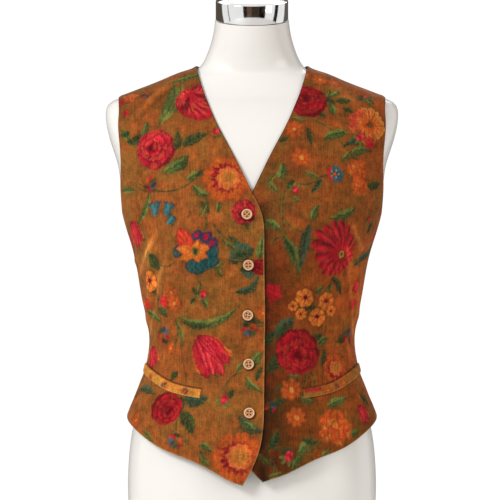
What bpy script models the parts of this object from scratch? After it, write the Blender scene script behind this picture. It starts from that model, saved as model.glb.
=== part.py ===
"""A women's fitted waistcoat on a smooth, limbless dress form with a chrome neck cap.

Millimetres are turned into metres as each mesh is made. +Z is up, the front faces -Y, and the
wearer's right is -X. The form is a stack of rounded sections. Each cloth panel is a patch between
its four edges, laid on the form, moved out by the ease of the garment and thickened.
"""

import math
from collections import namedtuple

import bmesh
import bpy
import numpy as np
from mathutils import Matrix, Vector
from mathutils.bvhtree import BVHTree

MM = 0.001

# Driving dimensions, in millimetres
CLOTH = 2.0
SEAM_GAP = 0.4
LAP_GAP = 0.8
LAY_GAP = 0.7
SEAT_GAP = 0.3
BUTTON_WIDTH = 15.0
BUTTON_DEPTH = 3.0
BUTTON_COUNT = 5
HOLE_WIDTH = 1.9
HOLE_SPREAD = 2.6
WELT_WIDTH = 12.5
WELT_DEPTH = 1.6
CAP_RADIUS = 48.0
CAP_BAND = 26.0
CAP_DOME = 4.5
NECK_TOP = 713.5
NECK_TILT = math.radians(10)
TILT_START = 640.0

# The dress form: half its width, the place of its side line, and its depth before and behind that line
Section = namedtuple("Section", "height half_width side_y front back square")
FORM = [
    Section(0, 152, 2, 98, 114, 2.3),
    Section(70, 163, 2, 106, 122, 2.3),
    Section(130, 163, 1, 105, 121, 2.3),
    Section(190, 153.5, 0, 100, 111, 2.3),
    Section(235, 137.5, 0, 92, 98, 2.3),
    Section(262, 131, 0, 89, 91.5, 2.3),
    Section(290, 128, 0, 88, 89, 2.3),
    Section(343, 137, 1, 93, 92, 2.3),
    Section(409, 151, 3, 101, 98, 2.35),
    Section(436, 160, 4, 102, 99, 2.4),
    Section(460, 167, 5, 102, 101, 2.4),
    Section(495, 173.5, 7, 98, 104, 2.4),
    Section(520, 177, 8.5, 93, 105, 2.4),
    Section(549, 186, 10, 85, 103, 2.4),
    Section(570, 191.5, 11, 77, 100, 2.4),
    Section(588, 193.5, 12, 67, 93.5, 2.35),
    Section(600, 191, 13.5, 59, 87.5, 2.3),
    Section(606.5, 184, 15, 54, 82.5, 2.2),
    Section(611, 172.5, 16.5, 51, 79, 2.15),
    Section(618.3, 153, 18.5, 48, 72.5, 2.1),
    Section(630, 122, 22, 45, 62.5, 2.05),
    Section(640.9, 93, 25.5, 44, 53, 2.0),
    Section(649.5, 71.5, 27.5, 44.5, 50, 2.0),
    Section(659.5, 63.5, 27.5, 46.5, 49.5, 2.0),
    Section(672, 58, 25, 49, 50.5, 2.0),
    Section(692, 52, 18.5, 50.5, 50.5, 2.0),
    Section(712, 49, 10.5, 49, 49, 2.0),
    Section(745, 48, -2, 48, 48, 2.0),
]
SECTION_SAMPLES = 4000
CURVE_SAMPLES = 300

# The smooth bust of the form, raised from its front
BUST_RISE = 24.0
BUST_HEIGHT = 412.0
BUST_OUT = 78.0
BUST_ROUND = 75.0
BUST_MIDDLE = 0.4
BUST_BELOW = 58.0
BUST_ABOVE = 62.0

# How far the cloth stands off the form
Ease = namedtuple("Ease", "height front side back")
EASE = [
    Ease(90, 12, 10, 8),
    Ease(190, 9, 9.5, 8),
    Ease(235, 7.5, 7, 6.5),
    Ease(290, 7, 5.8, 6),
    Ease(343, 7, 5.2, 6),
    Ease(380, 3, 4.5, 4),
    Ease(412, 1.2, 4.0, 2.5),
    Ease(460, 1.4, 3.0, 1.4),
    Ease(500, 1.4, 1.8, 1.2),
    Ease(550, 1.2, 1.2, 1.3),
    Ease(600, 1.4, 1.2, 2.0),
    Ease(632, 2.6, 1.3, 3.0),
    Ease(645, 2.8, 2.4, 4.0),
    Ease(660, 2.8, 2.4, 4.0),
]

# Edges seen from the front: how far out from the middle, below zero where the front laps over
Edge = namedtuple("Edge", "out height")
FRONT_EDGE = [
    Edge(12.5, 98.5),
    Edge(8.0, 103.0),
    Edge(3.0, 114.0),
    Edge(-4.5, 131),
    Edge(-11.2, 152),
    Edge(-15.8, 211),
    Edge(-17.0, 343),
    Edge(-16.4, 422),
    Edge(-13.9, 453),
    Edge(-7.0, 471),
    Edge(0.8, 487),
    Edge(26.7, 540),
    Edge(45.5, 575.5),
    Edge(57.4, 603),
    Edge(66.7, 628),
]
HEM = [
    Edge(12.5, 98.5),
    Edge(19, 100.5),
    Edge(48.8, 115.5),
    Edge(81.8, 132.0),
    Edge(118, 146.5),
    Edge(150, 168.5),
]

# The wearer's left front is a little shorter at its tip
LEFT_TIP_RISE = 5.0
LEFT_TIP_OUT = 2.0

# Button places as they show from the front, from the top
BUTTON_PLACES = [Edge(6.9, 455.4), Edge(5.0, 390.4), Edge(5.5, 324.1), Edge(4.4, 258.5), Edge(3.6, 193.9)]

# Edges round the side: the turn from the middle of the front, in degrees
Turn = namedtuple("Turn", "turn height")
SIDE_TURN = 93.0
HEM_SIDE_HEIGHT = 190.0
UNDERARM_HEIGHT = 458.0
NECK_POINT = Turn(90, 649.5)
SHOULDER_TIP = Turn(90, 611)
FRONT_ARMHOLE = [
    Turn(88, 459.5),
    Turn(82, 466),
    Turn(77.5, 481),
    Turn(73, 507),
    Turn(64.5, 543),
    Turn(60.5, 578),
    Turn(61, 596.5),
    Turn(70, 606.5),
]
BACK_ARMHOLE = [
    Turn(98, 459.5),
    Turn(106, 466),
    Turn(115, 481),
    Turn(122, 507),
    Turn(126, 543),
    Turn(127, 578),
    Turn(122, 596.5),
    Turn(110, 606.5),
]
BACK_NECK = [Turn(180, 636), Turn(150, 640), Turn(122, 647), Turn(105, 649.5)]
BACK_HEM = [Turn(180, 178), Turn(150, 180), Turn(120, 185.5)]

# Largest folds, from one place to another round the body
Fold = namedtuple("Fold", "turn height end_turn end_height rise half_width")
RIGHT_FOLDS = [
    Fold(52, 432, 72, 300, 2.6, 9),
    Fold(34, 420, 38, 300, -1.4, 10),
    Fold(60, 214, 52, 180, 1.8, 9),
]
LEFT_FOLDS = [
    Fold(55, 440, 66, 310, 2.4, 9),
    Fold(36, 410, 40, 310, -1.3, 10),
    Fold(74, 226, 66, 196, 2.0, 9),
    Fold(48, 206, 46, 170, 1.4, 9),
]
BACK_FOLDS = [
    Fold(128, 400, 136, 290, 2.0, 10),
    Fold(158, 420, 154, 280, 1.6, 11),
    Fold(140, 240, 148, 190, 1.5, 10),
]

# The run of a pocket welt along its middle
WELT = [
    Turn(26, 217.5),
    Turn(35, 221),
    Turn(43, 225.5),
    Turn(52, 233),
    Turn(61, 240.5),
    Turn(72, 247.5),
    Turn(84, 252.5),
]

# How finely each surface is cut up
FRONT_COLUMNS = 18
FRONT_ROWS = 31
FRONT_UNDERARM_ROW = 17
BACK_COLUMNS = 14
BACK_NECK_COLUMN = 6
BACK_ROWS = 29
BACK_UNDERARM_ROW = 14
WELT_COLUMNS = 16
WELT_ROWS = 2
FORM_SIDES = 36
FORM_RINGS = [
    0, 32, 68, 104, 140, 176, 208, 236, 262, 288, 314, 340, 364, 388, 412, 436, 460, 484, 508, 530,
    550, 568, 583, 594, 601, 606, 609.5, 613, 617.5, 623, 629.5, 635.5, 640.5, 645, 649, 653, 658, 664.5,
    674, 690, NECK_TOP,
]
SMOOTHING_ROUNDS = 30
BUTTON_SIDES = 16
HOLE_SIDES = 8
CAP_SIDES = 32


def spline(knots, values, places):
    """A natural cubic spline through the values at the knots, read at the places."""
    knots = np.asarray(knots, float)
    values = np.asarray(values, float)
    places = np.asarray(places, float)
    count = len(knots)
    step = np.diff(knots)
    slope = np.diff(values, axis=0) / step[:, None]
    system = np.eye(count)
    target = np.zeros_like(values)
    for i in range(1, count - 1):
        system[i, i - 1 : i + 2] = step[i - 1], 2 * (step[i - 1] + step[i]), step[i]
        target[i] = 6 * (slope[i] - slope[i - 1])
    bend = np.linalg.solve(system, target)
    i = np.clip(np.searchsorted(knots, places) - 1, 0, count - 2)
    width = step[i][:, None]
    before = (places - knots[i])[:, None]
    after = width - before
    cubic = (bend[i] * after**3 + bend[i + 1] * before**3) / (6 * width)
    start = (values[i] / width - bend[i] * width / 6) * after
    end = (values[i + 1] / width - bend[i + 1] * width / 6) * before
    return cubic + start + end


def lengths_along(points):
    """The distance along a line of points, zero at its start."""
    return np.concatenate([[0.0], np.cumsum(np.linalg.norm(np.diff(points, axis=0), axis=1))])


def smooth_step(value):
    """Zero below 0, one above 1, and smooth between."""
    value = np.clip(value, 0, 1)
    return value * value * (3 - 2 * value)


def sampled_form():
    """The form's sections at many heights, from a spline along its outline."""
    rows = np.array(FORM, float)
    run = lengths_along(rows[:, :2])
    fine = spline(run, rows, np.linspace(0, run[-1], SECTION_SAMPLES))
    return fine[np.argsort(fine[:, 0])]


PROFILE = sampled_form()


def section_at(heights):
    """Half width, side line, front depth, back depth and squareness at these heights."""
    return [np.interp(heights, PROFILE[:, 0], PROFILE[:, i]) for i in range(1, PROFILE.shape[1])]


def bust_rise(out, height):
    """How far the bust lifts the form's front at this distance from the middle."""
    out = np.abs(out)
    drop = height - BUST_HEIGHT
    reach = np.where(drop < 0, BUST_BELOW, BUST_ABOVE)
    upright = np.exp(-((drop / reach) ** 2))
    inward = BUST_MIDDLE + (1 - BUST_MIDDLE) * smooth_step(out / BUST_OUT)
    outward = 1 - smooth_step((out - BUST_OUT) / BUST_ROUND)
    return BUST_RISE * upright * inward * outward


def reach_of(points):
    """Each point's place across and along its own section, one at the form's surface."""
    half, side_y, front, back, square = section_at(points[:, 2])
    forward = points[:, 1] < side_y
    depth = np.where(forward, front + bust_rise(points[:, 0], points[:, 2]), back)
    return points[:, 0] / half, (points[:, 1] - side_y) / depth, square


def level(points):
    """Zero on the form's surface and positive outside it."""
    across, along, square = reach_of(points)
    return (np.abs(across) ** square + np.abs(along) ** square) ** (1 / square) - 1


def slope_at(points):
    """The gradient of the level."""
    probe = 0.25
    slope = np.empty_like(points)
    for axis in range(3):
        shift = np.zeros(3)
        shift[axis] = probe
        slope[:, axis] = (level(points + shift) - level(points - shift)) / (2 * probe)
    return slope


def settle(points):
    """The points moved onto the form's surface."""
    points = np.array(points, float)
    for _ in range(8):
        slope = slope_at(points)
        points -= slope * (level(points) / (slope**2).sum(axis=1))[:, None]
    return points


def outward(points):
    """The unit normals of the form at its surface points."""
    slope = slope_at(points)
    return slope / np.linalg.norm(slope, axis=1)[:, None]


def turn_of(points):
    """Degrees round the body from the middle of the front, on either side."""
    across, along, _ = reach_of(points)
    return np.degrees(np.arctan2(np.abs(across), -along))


def on_form(turns, heights, side):
    """Surface points at these turns and heights, side being -1 for the wearer's right."""
    angle = np.radians(turns)
    heights = np.asarray(heights, float)
    half, side_y, front, back, square = section_at(heights)
    across = np.abs(np.sin(angle))
    along = np.abs(np.cos(angle))
    scale = (across**square + along**square) ** (-1 / square)
    x = half * across * scale
    for_front = np.cos(angle) > 0
    depth = np.where(for_front, -(front + bust_rise(x, heights)), back)
    return np.column_stack([side * x, side_y + depth * along * scale, heights])


def ease_at(points):
    """The stand-off of the cloth, blended round the body."""
    rows = np.array(EASE, float)
    front, side, back = spline(rows[:, 0], rows[:, 1:], points[:, 2]).T
    turn = np.radians(turn_of(points))
    ends = np.where(turn < math.pi / 2, front, back)
    return side + (ends - side) * np.cos(turn) ** 2


def fold_rise(points, folds):
    """The height of the soft folds, each round across its line and fading at its ends."""
    turn = turn_of(points)
    half_width, _, front, _, _ = section_at(points[:, 2])
    girth = np.radians(turn) * (half_width + front) / 2
    rise = np.zeros(len(points))
    for fold in folds:
        along = (points[:, 2] - fold.height) / (fold.end_height - fold.height)
        middle = fold.turn + (fold.end_turn - fold.turn) * along
        away = girth - np.radians(middle) * (half_width + front) / 2
        fade = smooth_step((along + 0.25) / 0.5) * smooth_step((1.25 - along) / 0.5)
        rise += fold.rise * fade * np.exp(-((away / fold.half_width) ** 2))
    return rise


def lap_rise(points):
    """How far the upper front is lifted where it lies on the other."""
    across = smooth_step((points[:, 0] + 52) / 34)
    below_neck = 1 - smooth_step((points[:, 2] - 492) / 55)
    return (CLOTH + LAP_GAP) * across * below_neck


def right_stand_off(points):
    """The inner face of the wearer's right front."""
    return ease_at(points) + fold_rise(points, RIGHT_FOLDS) + lap_rise(points)


def left_stand_off(points):
    """The inner face of the wearer's left front, under the other."""
    return ease_at(points) + fold_rise(points, LEFT_FOLDS)


def back_stand_off(points):
    """The inner face of the back."""
    return ease_at(points) + fold_rise(points, BACK_FOLDS)


def seen_from_front(edges, side):
    """Surface points whose cloth shows at these places from the front."""
    wanted = np.array([[side * edge.out, edge.height] for edge in edges], float)
    aim = wanted.copy()
    for _ in range(6):
        half, side_y, front, _, square = section_at(aim[:, 1])
        across = np.clip(np.abs(aim[:, 0]) / half, 0, 0.999)
        along = (1 - across**square) ** (1 / square)
        depth = (front + bust_rise(aim[:, 0], aim[:, 1])) * along
        points = np.column_stack([aim[:, 0], side_y - depth, aim[:, 1]])
        shown = points + outward(points) * (ease_at(points) + CLOTH)[:, None]
        aim += wanted - shown[:, [0, 2]]
    return points


def round_the_side(turns, side):
    """Surface points of a list of Turn rows."""
    return on_form([row.turn for row in turns], [row.height for row in turns], side)


def evenly(points, count):
    """A line of points cut into equal lengths."""
    run = lengths_along(points)
    even = np.linspace(0, run[-1], count)
    return np.column_stack([np.interp(even, run, points[:, axis]) for axis in range(3)])


def curve(points, count):
    """Evenly spaced points along a smooth curve through the given ones, on the form."""
    run = lengths_along(points)
    fine = settle(spline(run, points, np.linspace(0, run[-1], CURVE_SAMPLES)))
    return evenly(fine, count)


def joined(first, second):
    """One curve made of two that share a point."""
    return np.concatenate([first, second[1:]])


def side_seam(side, count, gap):
    """The side seam from hem to underarm, moved round by half a gap."""
    heights = np.linspace(HEM_SIDE_HEIGHT, UNDERARM_HEIGHT, count)
    points = on_form(np.full(count, SIDE_TURN), heights, side)
    points[:, 1] += gap
    return points


def shifted_turn(row, gap, side):
    """One surface point, moved forward or back by half a gap."""
    point = on_form([row.turn], [row.height], side)
    point[:, 1] += gap
    return point


def shoulder(side, gap, count):
    """The shoulder seam, from the neck to the armhole, along the top of the shoulder."""
    heights = np.linspace(NECK_POINT.height, SHOULDER_TIP.height, CURVE_SAMPLES)
    points = on_form(np.full(CURVE_SAMPLES, NECK_POINT.turn), heights, side)
    points[:, 1] += gap
    return evenly(points, count)


def patch(bottom, top, first, last):
    """A grid between four edges, laid on the form, indexed by row then column."""
    across = np.linspace(0, 1, len(bottom))[None, :, None]
    run = lengths_along(first)
    up = (run / run[-1])[:, None, None]
    sides = first[:, None] * (1 - across) + last[:, None] * across
    ends = bottom[None] * (1 - up) + top[None] * up
    lower = bottom[0] * (1 - across) + bottom[-1] * across
    upper = top[0] * (1 - across) + top[-1] * across
    grid = sides + ends - lower * (1 - up) - upper * up
    for _ in range(SMOOTHING_ROUNDS):
        inside = (grid[:-2, 1:-1] + grid[2:, 1:-1] + grid[1:-1, :-2] + grid[1:-1, 2:]) / 4
        grid[1:-1, 1:-1] = settle(inside.reshape(-1, 3)).reshape(inside.shape)
    return grid


def front_patch(side):
    """The grid of one front panel on the form."""
    gap = -SEAM_GAP / 2
    edge = list(FRONT_EDGE)
    hem = list(HEM)
    if side > 0:
        for rows in (edge, hem):
            for i in range(2):
                rows[i] = Edge(rows[i].out + LEFT_TIP_OUT, rows[i].height + LEFT_TIP_RISE)
    neck = shifted_turn(NECK_POINT, gap, side)
    first = curve(np.concatenate([seen_from_front(edge, side), neck]), FRONT_ROWS + 1)
    seam = side_seam(side, FRONT_UNDERARM_ROW + 1, gap)
    tip = shifted_turn(SHOULDER_TIP, gap, side)
    hole = np.concatenate([seam[-1:], round_the_side(FRONT_ARMHOLE, side), tip])
    last = joined(seam, curve(hole, FRONT_ROWS - FRONT_UNDERARM_ROW + 1))
    bottom = curve(np.concatenate([seen_from_front(hem, side), seam[:1]]), FRONT_COLUMNS + 1)
    top = shoulder(side, gap, FRONT_COLUMNS + 1)
    return patch(bottom, top, first, last)


def back_patch(side):
    """The grid of one half of the back on the form, from its middle seam."""
    gap = SEAM_GAP / 2
    heights = np.linspace(BACK_HEM[0].height, BACK_NECK[0].height, BACK_ROWS + 1)
    first = on_form(np.full(BACK_ROWS + 1, 180.0), heights, side)
    first[:, 0] = side * gap
    seam = side_seam(side, BACK_UNDERARM_ROW + 1, gap)
    tip = shifted_turn(SHOULDER_TIP, gap, side)
    hole = np.concatenate([seam[-1:], round_the_side(BACK_ARMHOLE, side), tip])
    last = joined(seam, curve(hole, BACK_ROWS - BACK_UNDERARM_ROW + 1))
    hem = np.concatenate([round_the_side(BACK_HEM, side), seam[:1]])
    hem[0] = first[0]
    neck = np.concatenate([round_the_side(BACK_NECK, side), shifted_turn(NECK_POINT, gap, side)])
    neck[0] = first[-1]
    over = shoulder(side, gap, BACK_COLUMNS - BACK_NECK_COLUMN + 1)
    top = joined(curve(neck, BACK_NECK_COLUMN + 1), over)
    return patch(curve(hem, BACK_COLUMNS + 1), top, first, last)


def material(name, colour, roughness, metallic=0.0):
    """A plain Principled material."""
    made = bpy.data.materials.new(name)
    made.use_nodes = True
    shader = made.node_tree.nodes["Principled BSDF"]
    shader.inputs["Base Color"].default_value = (*colour, 1)
    shader.inputs["Roughness"].default_value = roughness
    shader.inputs["Metallic"].default_value = metallic
    return made


def new_object(name, mesh, finish, home):
    """An object in its collection, with its material."""
    mesh.materials.append(finish)
    made = bpy.data.objects.new(name, mesh)
    home.objects.link(made)
    return made


def sheet_mesh(name, grid):
    """An open sheet, facing out: a flat grid whose points are moved to their places."""
    rows, columns = grid.shape[0] - 1, grid.shape[1] - 1
    work = bmesh.new()
    bmesh.ops.create_grid(work, x_segments=columns, y_segments=rows, size=1)
    for point in work.verts:
        column = round((point.co.x + 1) / 2 * columns)
        row = round((point.co.y + 1) / 2 * rows)
        point.co = grid[row, column] * MM
    work.normal_update()
    middles = np.array([face.calc_center_median() for face in work.faces]) / MM
    facing = sum(face.normal.dot(way) for face, way in zip(work.faces, map(Vector, outward(middles))))
    if facing < 0:
        bmesh.ops.reverse_faces(work, faces=work.faces)
    mesh = bpy.data.meshes.new(name)
    work.to_mesh(mesh)
    work.free()
    mesh.shade_smooth()
    return mesh


def add_wall(made, thickness):
    """Solidify a sheet outward."""
    wall = made.modifiers.new("wall", "SOLIDIFY")
    wall.thickness = thickness * MM
    wall.offset = 1
    return made


def add_panel(name, grid, stand_off, finish, home):
    """One cloth panel: its grid moved out to its inner face, and thickened."""
    flat = grid.reshape(-1, 3)
    inner = flat + outward(flat) * stand_off(flat)[:, None]
    mesh = sheet_mesh(name, inner.reshape(grid.shape))
    return add_wall(new_object(name, mesh, finish, home), CLOTH)


def outer_face(made):
    """A search tree over an object as its modifiers leave it."""
    bpy.context.view_layer.update()
    return BVHTree.FromObject(made, bpy.context.evaluated_depsgraph_get())


def height_on(tree, points, normals):
    """How far each point must move along its normal to reach the cloth's outer face."""
    away = 40.0
    heights = []
    for point, normal in zip(points, normals):
        start = Vector((point + normal * away) * MM)
        hit = tree.ray_cast(start, -Vector(normal))
        heights.append(away - hit[3] / MM)
    return np.array(heights)


def add_welt(name, side, panel, finish, home):
    """A narrow curved band lying on a front panel."""
    rows = np.array(WELT, float)
    run = lengths_along(round_the_side(WELT, side))
    middle = spline(run, rows, np.linspace(0, run[-1], WELT_COLUMNS + 1))
    line = on_form(middle[:, 0], middle[:, 1], side)
    heading = np.gradient(line, axis=0)
    heading /= np.linalg.norm(heading, axis=1)[:, None]
    across = np.cross(heading, outward(line)) * side
    steps = np.linspace(-WELT_WIDTH / 2, WELT_WIDTH / 2, WELT_ROWS + 1)
    grid = np.array([settle(line + across * step) for step in steps])
    flat = grid.reshape(-1, 3)
    normals = outward(flat)
    inner = flat + normals * (height_on(outer_face(panel), flat, normals) + LAY_GAP)[:, None]
    mesh = sheet_mesh(name, inner.reshape(grid.shape))
    return add_wall(new_object(name, mesh, finish, home), WELT_DEPTH)


def turned(name, profile, sides, finish, home):
    """A turned piece: a profile, top to bottom down its outer side, and a Screw."""
    work = bmesh.new()
    points = [work.verts.new((x * MM, 0, z * MM)) for x, z in profile]
    for start, end in zip(points, points[1:]):
        work.edges.new((start, end))
    mesh = bpy.data.meshes.new(name)
    work.to_mesh(mesh)
    work.free()
    made = new_object(name, mesh, finish, home)
    screw = made.modifiers.new("turn", "SCREW")
    screw.steps = sides
    screw.render_steps = sides
    screw.use_merge_vertices = True
    screw.merge_threshold = 0.00001
    return made


def button_profile():
    """Half of a button, with a raised rim round a dished middle."""
    radius = BUTTON_WIDTH / 2
    return [
        (0, BUTTON_DEPTH - 1.0),
        (radius * 0.60, BUTTON_DEPTH - 0.9),
        (radius * 0.72, BUTTON_DEPTH - 0.1),
        (radius * 0.86, BUTTON_DEPTH),
        (radius, BUTTON_DEPTH - 1.1),
        (radius * 0.93, 0.5),
        (radius * 0.78, 0),
        (0, 0),
    ]


def button_seat(tree, shown):
    """The middle of a button's back and the way it faces, clear of the cloth all round."""
    seat = seen_from_front([shown], side=-1)
    normal = outward(seat)
    turn = Vector(normal[0]).to_track_quat("Z", "Y").to_matrix()
    angles = np.radians(np.arange(0, 360, 30))
    rim = [turn @ Vector((math.cos(a), math.sin(a), 0)) * BUTTON_WIDTH / 2 for a in angles]
    around = np.concatenate([seat, seat + np.array(rim)])
    stand = height_on(tree, around, np.repeat(normal, len(around), axis=0)).max() + SEAT_GAP
    return (seat + normal * stand)[0] * MM, turn.to_4x4()


def add_button(number, panel, finish, home, guides):
    """One four-hole button, on the lapped front and square to it."""
    place, turn = button_seat(outer_face(panel), BUTTON_PLACES[number])
    made = turned(f"button_{number + 1}", button_profile(), BUTTON_SIDES, finish, home)
    made.matrix_world = Matrix.Translation(Vector(place)) @ turn
    for corner in range(4):
        angle = math.radians(45 + 90 * corner)
        hole_mesh = bpy.data.meshes.new("button_hole")
        work = bmesh.new()
        bmesh.ops.create_cone(
            work,
            cap_ends=True,
            segments=HOLE_SIDES,
            radius1=HOLE_WIDTH / 2 * MM,
            radius2=HOLE_WIDTH / 2 * MM,
            depth=BUTTON_DEPTH * 3 * MM,
        )
        work.to_mesh(hole_mesh)
        work.free()
        hole = bpy.data.objects.new(f"{made.name}_hole_{corner + 1}", hole_mesh)
        guides.objects.link(hole)
        hole.hide_render = True
        hole.display_type = "WIRE"
        shift = Vector((math.cos(angle), math.sin(angle), 0)) * HOLE_SPREAD * MM
        hole.matrix_world = made.matrix_world @ Matrix.Translation(shift)
        cut = made.modifiers.new(f"hole_{corner + 1}", "BOOLEAN")
        cut.operation = "DIFFERENCE"
        cut.object = hole
    return made


def form_ring(height, sides):
    """One ring of the form, tipped forward in the neck."""
    tilt = math.tan(NECK_TILT) * smooth_step((height - TILT_START) / (NECK_TOP - TILT_START))
    turns = np.arange(sides) * 360 / sides
    side = np.where(turns < 180, 1.0, -1.0)
    heights = np.full(sides, float(height))
    for _ in range(6):
        points = on_form(turns, heights, side)
        side_y = section_at(np.array([height]))[1]
        heights = height + tilt * (points[:, 1] - side_y)
    return points


def add_form(finish, home):
    """The dress form: a loft through its rings, with a flat base and a flat neck."""
    work = bmesh.new()
    rings = []
    for height in FORM_RINGS:
        ring = form_ring(height, FORM_SIDES)
        rings.append([work.verts.new(point * MM) for point in ring])
    for lower, upper in zip(rings, rings[1:]):
        for i in range(FORM_SIDES):
            j = (i + 1) % FORM_SIDES
            work.faces.new((lower[i], lower[j], upper[j], upper[i]))
    work.faces.new(rings[0][::-1])
    work.faces.new(rings[-1])
    mesh = bpy.data.meshes.new("form")
    bmesh.ops.recalc_face_normals(work, faces=work.faces)
    work.to_mesh(mesh)
    work.free()
    mesh.shade_smooth()
    return new_object("form", mesh, finish, home)


def add_neck_cap(finish, home):
    """The chrome cap on the tipped top of the neck."""
    edge = 1.5
    profile = [
        (0, CAP_BAND + CAP_DOME),
        (CAP_RADIUS * 0.45, CAP_BAND + CAP_DOME * 0.82),
        (CAP_RADIUS * 0.80, CAP_BAND + CAP_DOME * 0.36),
        (CAP_RADIUS - edge, CAP_BAND),
        (CAP_RADIUS, CAP_BAND - edge),
        (CAP_RADIUS, edge),
        (CAP_RADIUS - edge, 0),
        (0, 0),
    ]
    made = turned("neck_cap", profile, CAP_SIDES, finish, home)
    side_y = section_at(np.array([NECK_TOP]))[1][0]
    top = Vector((0, side_y, NECK_TOP)) * MM
    tip = Matrix.Rotation(NECK_TILT, 4, "X")
    lift = Matrix.Translation((0, 0, SEAM_GAP * MM))
    made.matrix_world = Matrix.Translation(top) @ tip @ lift
    return made


def clear_scene():
    """Remove whatever the scene starts with."""
    for old in list(bpy.data.objects):
        bpy.data.objects.remove(old, do_unlink=True)


def main():
    clear_scene()
    home = bpy.data.collections.new("waistcoat_on_dress_form")
    guides = bpy.data.collections.new("cutters")
    bpy.context.scene.collection.children.link(home)
    bpy.context.scene.collection.children.link(guides)
    printed = material("printed_velveteen", (0.30, 0.12, 0.035), 0.85)
    plain = material("back_cloth", (0.035, 0.02, 0.025), 0.7)
    welt_cloth = material("welt_velveteen", (0.38, 0.15, 0.04), 0.85)
    horn = material("button_wood", (0.62, 0.40, 0.23), 0.4)
    gloss = material("form_white", (0.86, 0.85, 0.82), 0.25)
    chrome = material("cap_chrome", (0.8, 0.8, 0.8), 0.08, metallic=1.0)

    add_form(gloss, home)
    add_neck_cap(chrome, home)
    sides = [("right", -1, right_stand_off), ("left", 1, left_stand_off)]
    fronts = {}
    for name, side, stand_off in sides:
        fronts[name] = add_panel(f"front_{name}", front_patch(side), stand_off, printed, home)
        add_panel(f"back_{name}", back_patch(side), back_stand_off, plain, home)
        add_welt(f"welt_{name}", side, fronts[name], welt_cloth, home)
    for number in range(BUTTON_COUNT):
        add_button(number, fronts["right"], horn, home, guides)


main()
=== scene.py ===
"""Looks of a printed velveteen waistcoat on its dress form.

The cloth panels are thin shells laid on the same form as the solids, with finer folds. The floral
print is painted from listed motifs onto a colour attribute. Lengths are in millimetres until a
mesh is made. +Z is up, the front faces -Y and the wearer's right is -X.
"""

import logging
import math
from collections import namedtuple
from dataclasses import dataclass, field
from enum import Enum
from typing import Callable, Iterable, Optional, Sequence, Union

import bpy
import numpy as np
from mathutils import Matrix, Vector
from mathutils.bvhtree import BVHTree


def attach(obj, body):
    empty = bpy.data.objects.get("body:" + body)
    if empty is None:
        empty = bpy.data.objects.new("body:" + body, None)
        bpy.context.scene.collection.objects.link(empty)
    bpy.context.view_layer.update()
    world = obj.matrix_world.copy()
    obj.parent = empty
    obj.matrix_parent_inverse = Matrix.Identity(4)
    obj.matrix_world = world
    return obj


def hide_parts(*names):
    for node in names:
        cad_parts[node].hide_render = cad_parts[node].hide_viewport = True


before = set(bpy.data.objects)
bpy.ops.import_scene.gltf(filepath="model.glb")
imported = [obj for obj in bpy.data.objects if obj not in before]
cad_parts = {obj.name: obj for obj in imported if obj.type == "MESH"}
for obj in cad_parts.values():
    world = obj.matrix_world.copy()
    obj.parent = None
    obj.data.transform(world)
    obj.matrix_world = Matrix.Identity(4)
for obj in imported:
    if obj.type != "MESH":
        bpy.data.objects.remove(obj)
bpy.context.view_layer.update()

Array = np.ndarray
Layer = tuple[Array, Array]
Number = Union[int, float]

log = logging.getLogger("waistcoat")

MM = 0.001

# Sizes that the part's own source has
CLOTH = 2.0
SEAM_GAP = 0.4
LAP_GAP = 0.8
LAY_GAP = 0.7
SEAT_GAP = 0.3
BUTTON_WIDTH = 15.0
BUTTON_DEPTH = 3.0
HOLE_WIDTH = 1.9
HOLE_SPREAD = 2.6
WELT_WIDTH = 12.5
WELT_DEPTH = 1.6
CAP_RADIUS = 48.0
CAP_BAND = 26.0
CAP_DOME = 4.5
NECK_TOP = 713.5
NECK_TILT = math.radians(10)
TILT_START = 640.0

Section = namedtuple("Section", "height half_width side_y front back square")
FORM = [Section(*row) for row in [
    (0, 152, 2, 98, 114, 2.3), (70, 163, 2, 106, 122, 2.3), (130, 163, 1, 105, 121, 2.3),
    (190, 153.5, 0, 100, 111, 2.3), (235, 137.5, 0, 92, 98, 2.3), (262, 131, 0, 89, 91.5, 2.3),
    (290, 128, 0, 88, 89, 2.3), (343, 137, 1, 93, 92, 2.3), (409, 151, 3, 101, 98, 2.35),
    (436, 160, 4, 102, 99, 2.4), (460, 167, 5, 102, 101, 2.4), (495, 173.5, 7, 98, 104, 2.4),
    (520, 177, 8.5, 93, 105, 2.4), (549, 186, 10, 85, 103, 2.4), (570, 191.5, 11, 77, 100, 2.4),
    (588, 193.5, 12, 67, 93.5, 2.35), (600, 191, 13.5, 59, 87.5, 2.3), (606.5, 184, 15, 54, 82.5, 2.2),
    (611, 172.5, 16.5, 51, 79, 2.15), (618.3, 153, 18.5, 48, 72.5, 2.1), (630, 122, 22, 45, 62.5, 2.05),
    (640.9, 93, 25.5, 44, 53, 2.0), (649.5, 71.5, 27.5, 44.5, 50, 2.0),
    (659.5, 63.5, 27.5, 46.5, 49.5, 2.0), (672, 58, 25, 49, 50.5, 2.0),
    (692, 52, 18.5, 50.5, 50.5, 2.0), (712, 49, 10.5, 49, 49, 2.0), (745, 48, -2, 48, 48, 2.0),
]]
SECTION_SAMPLES = 4000
CURVE_SAMPLES = 300
BUST_RISE = 24.0
BUST_HEIGHT = 412.0
BUST_OUT = 78.0
BUST_ROUND = 75.0
BUST_MIDDLE = 0.4
BUST_BELOW = 58.0
BUST_ABOVE = 62.0

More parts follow.
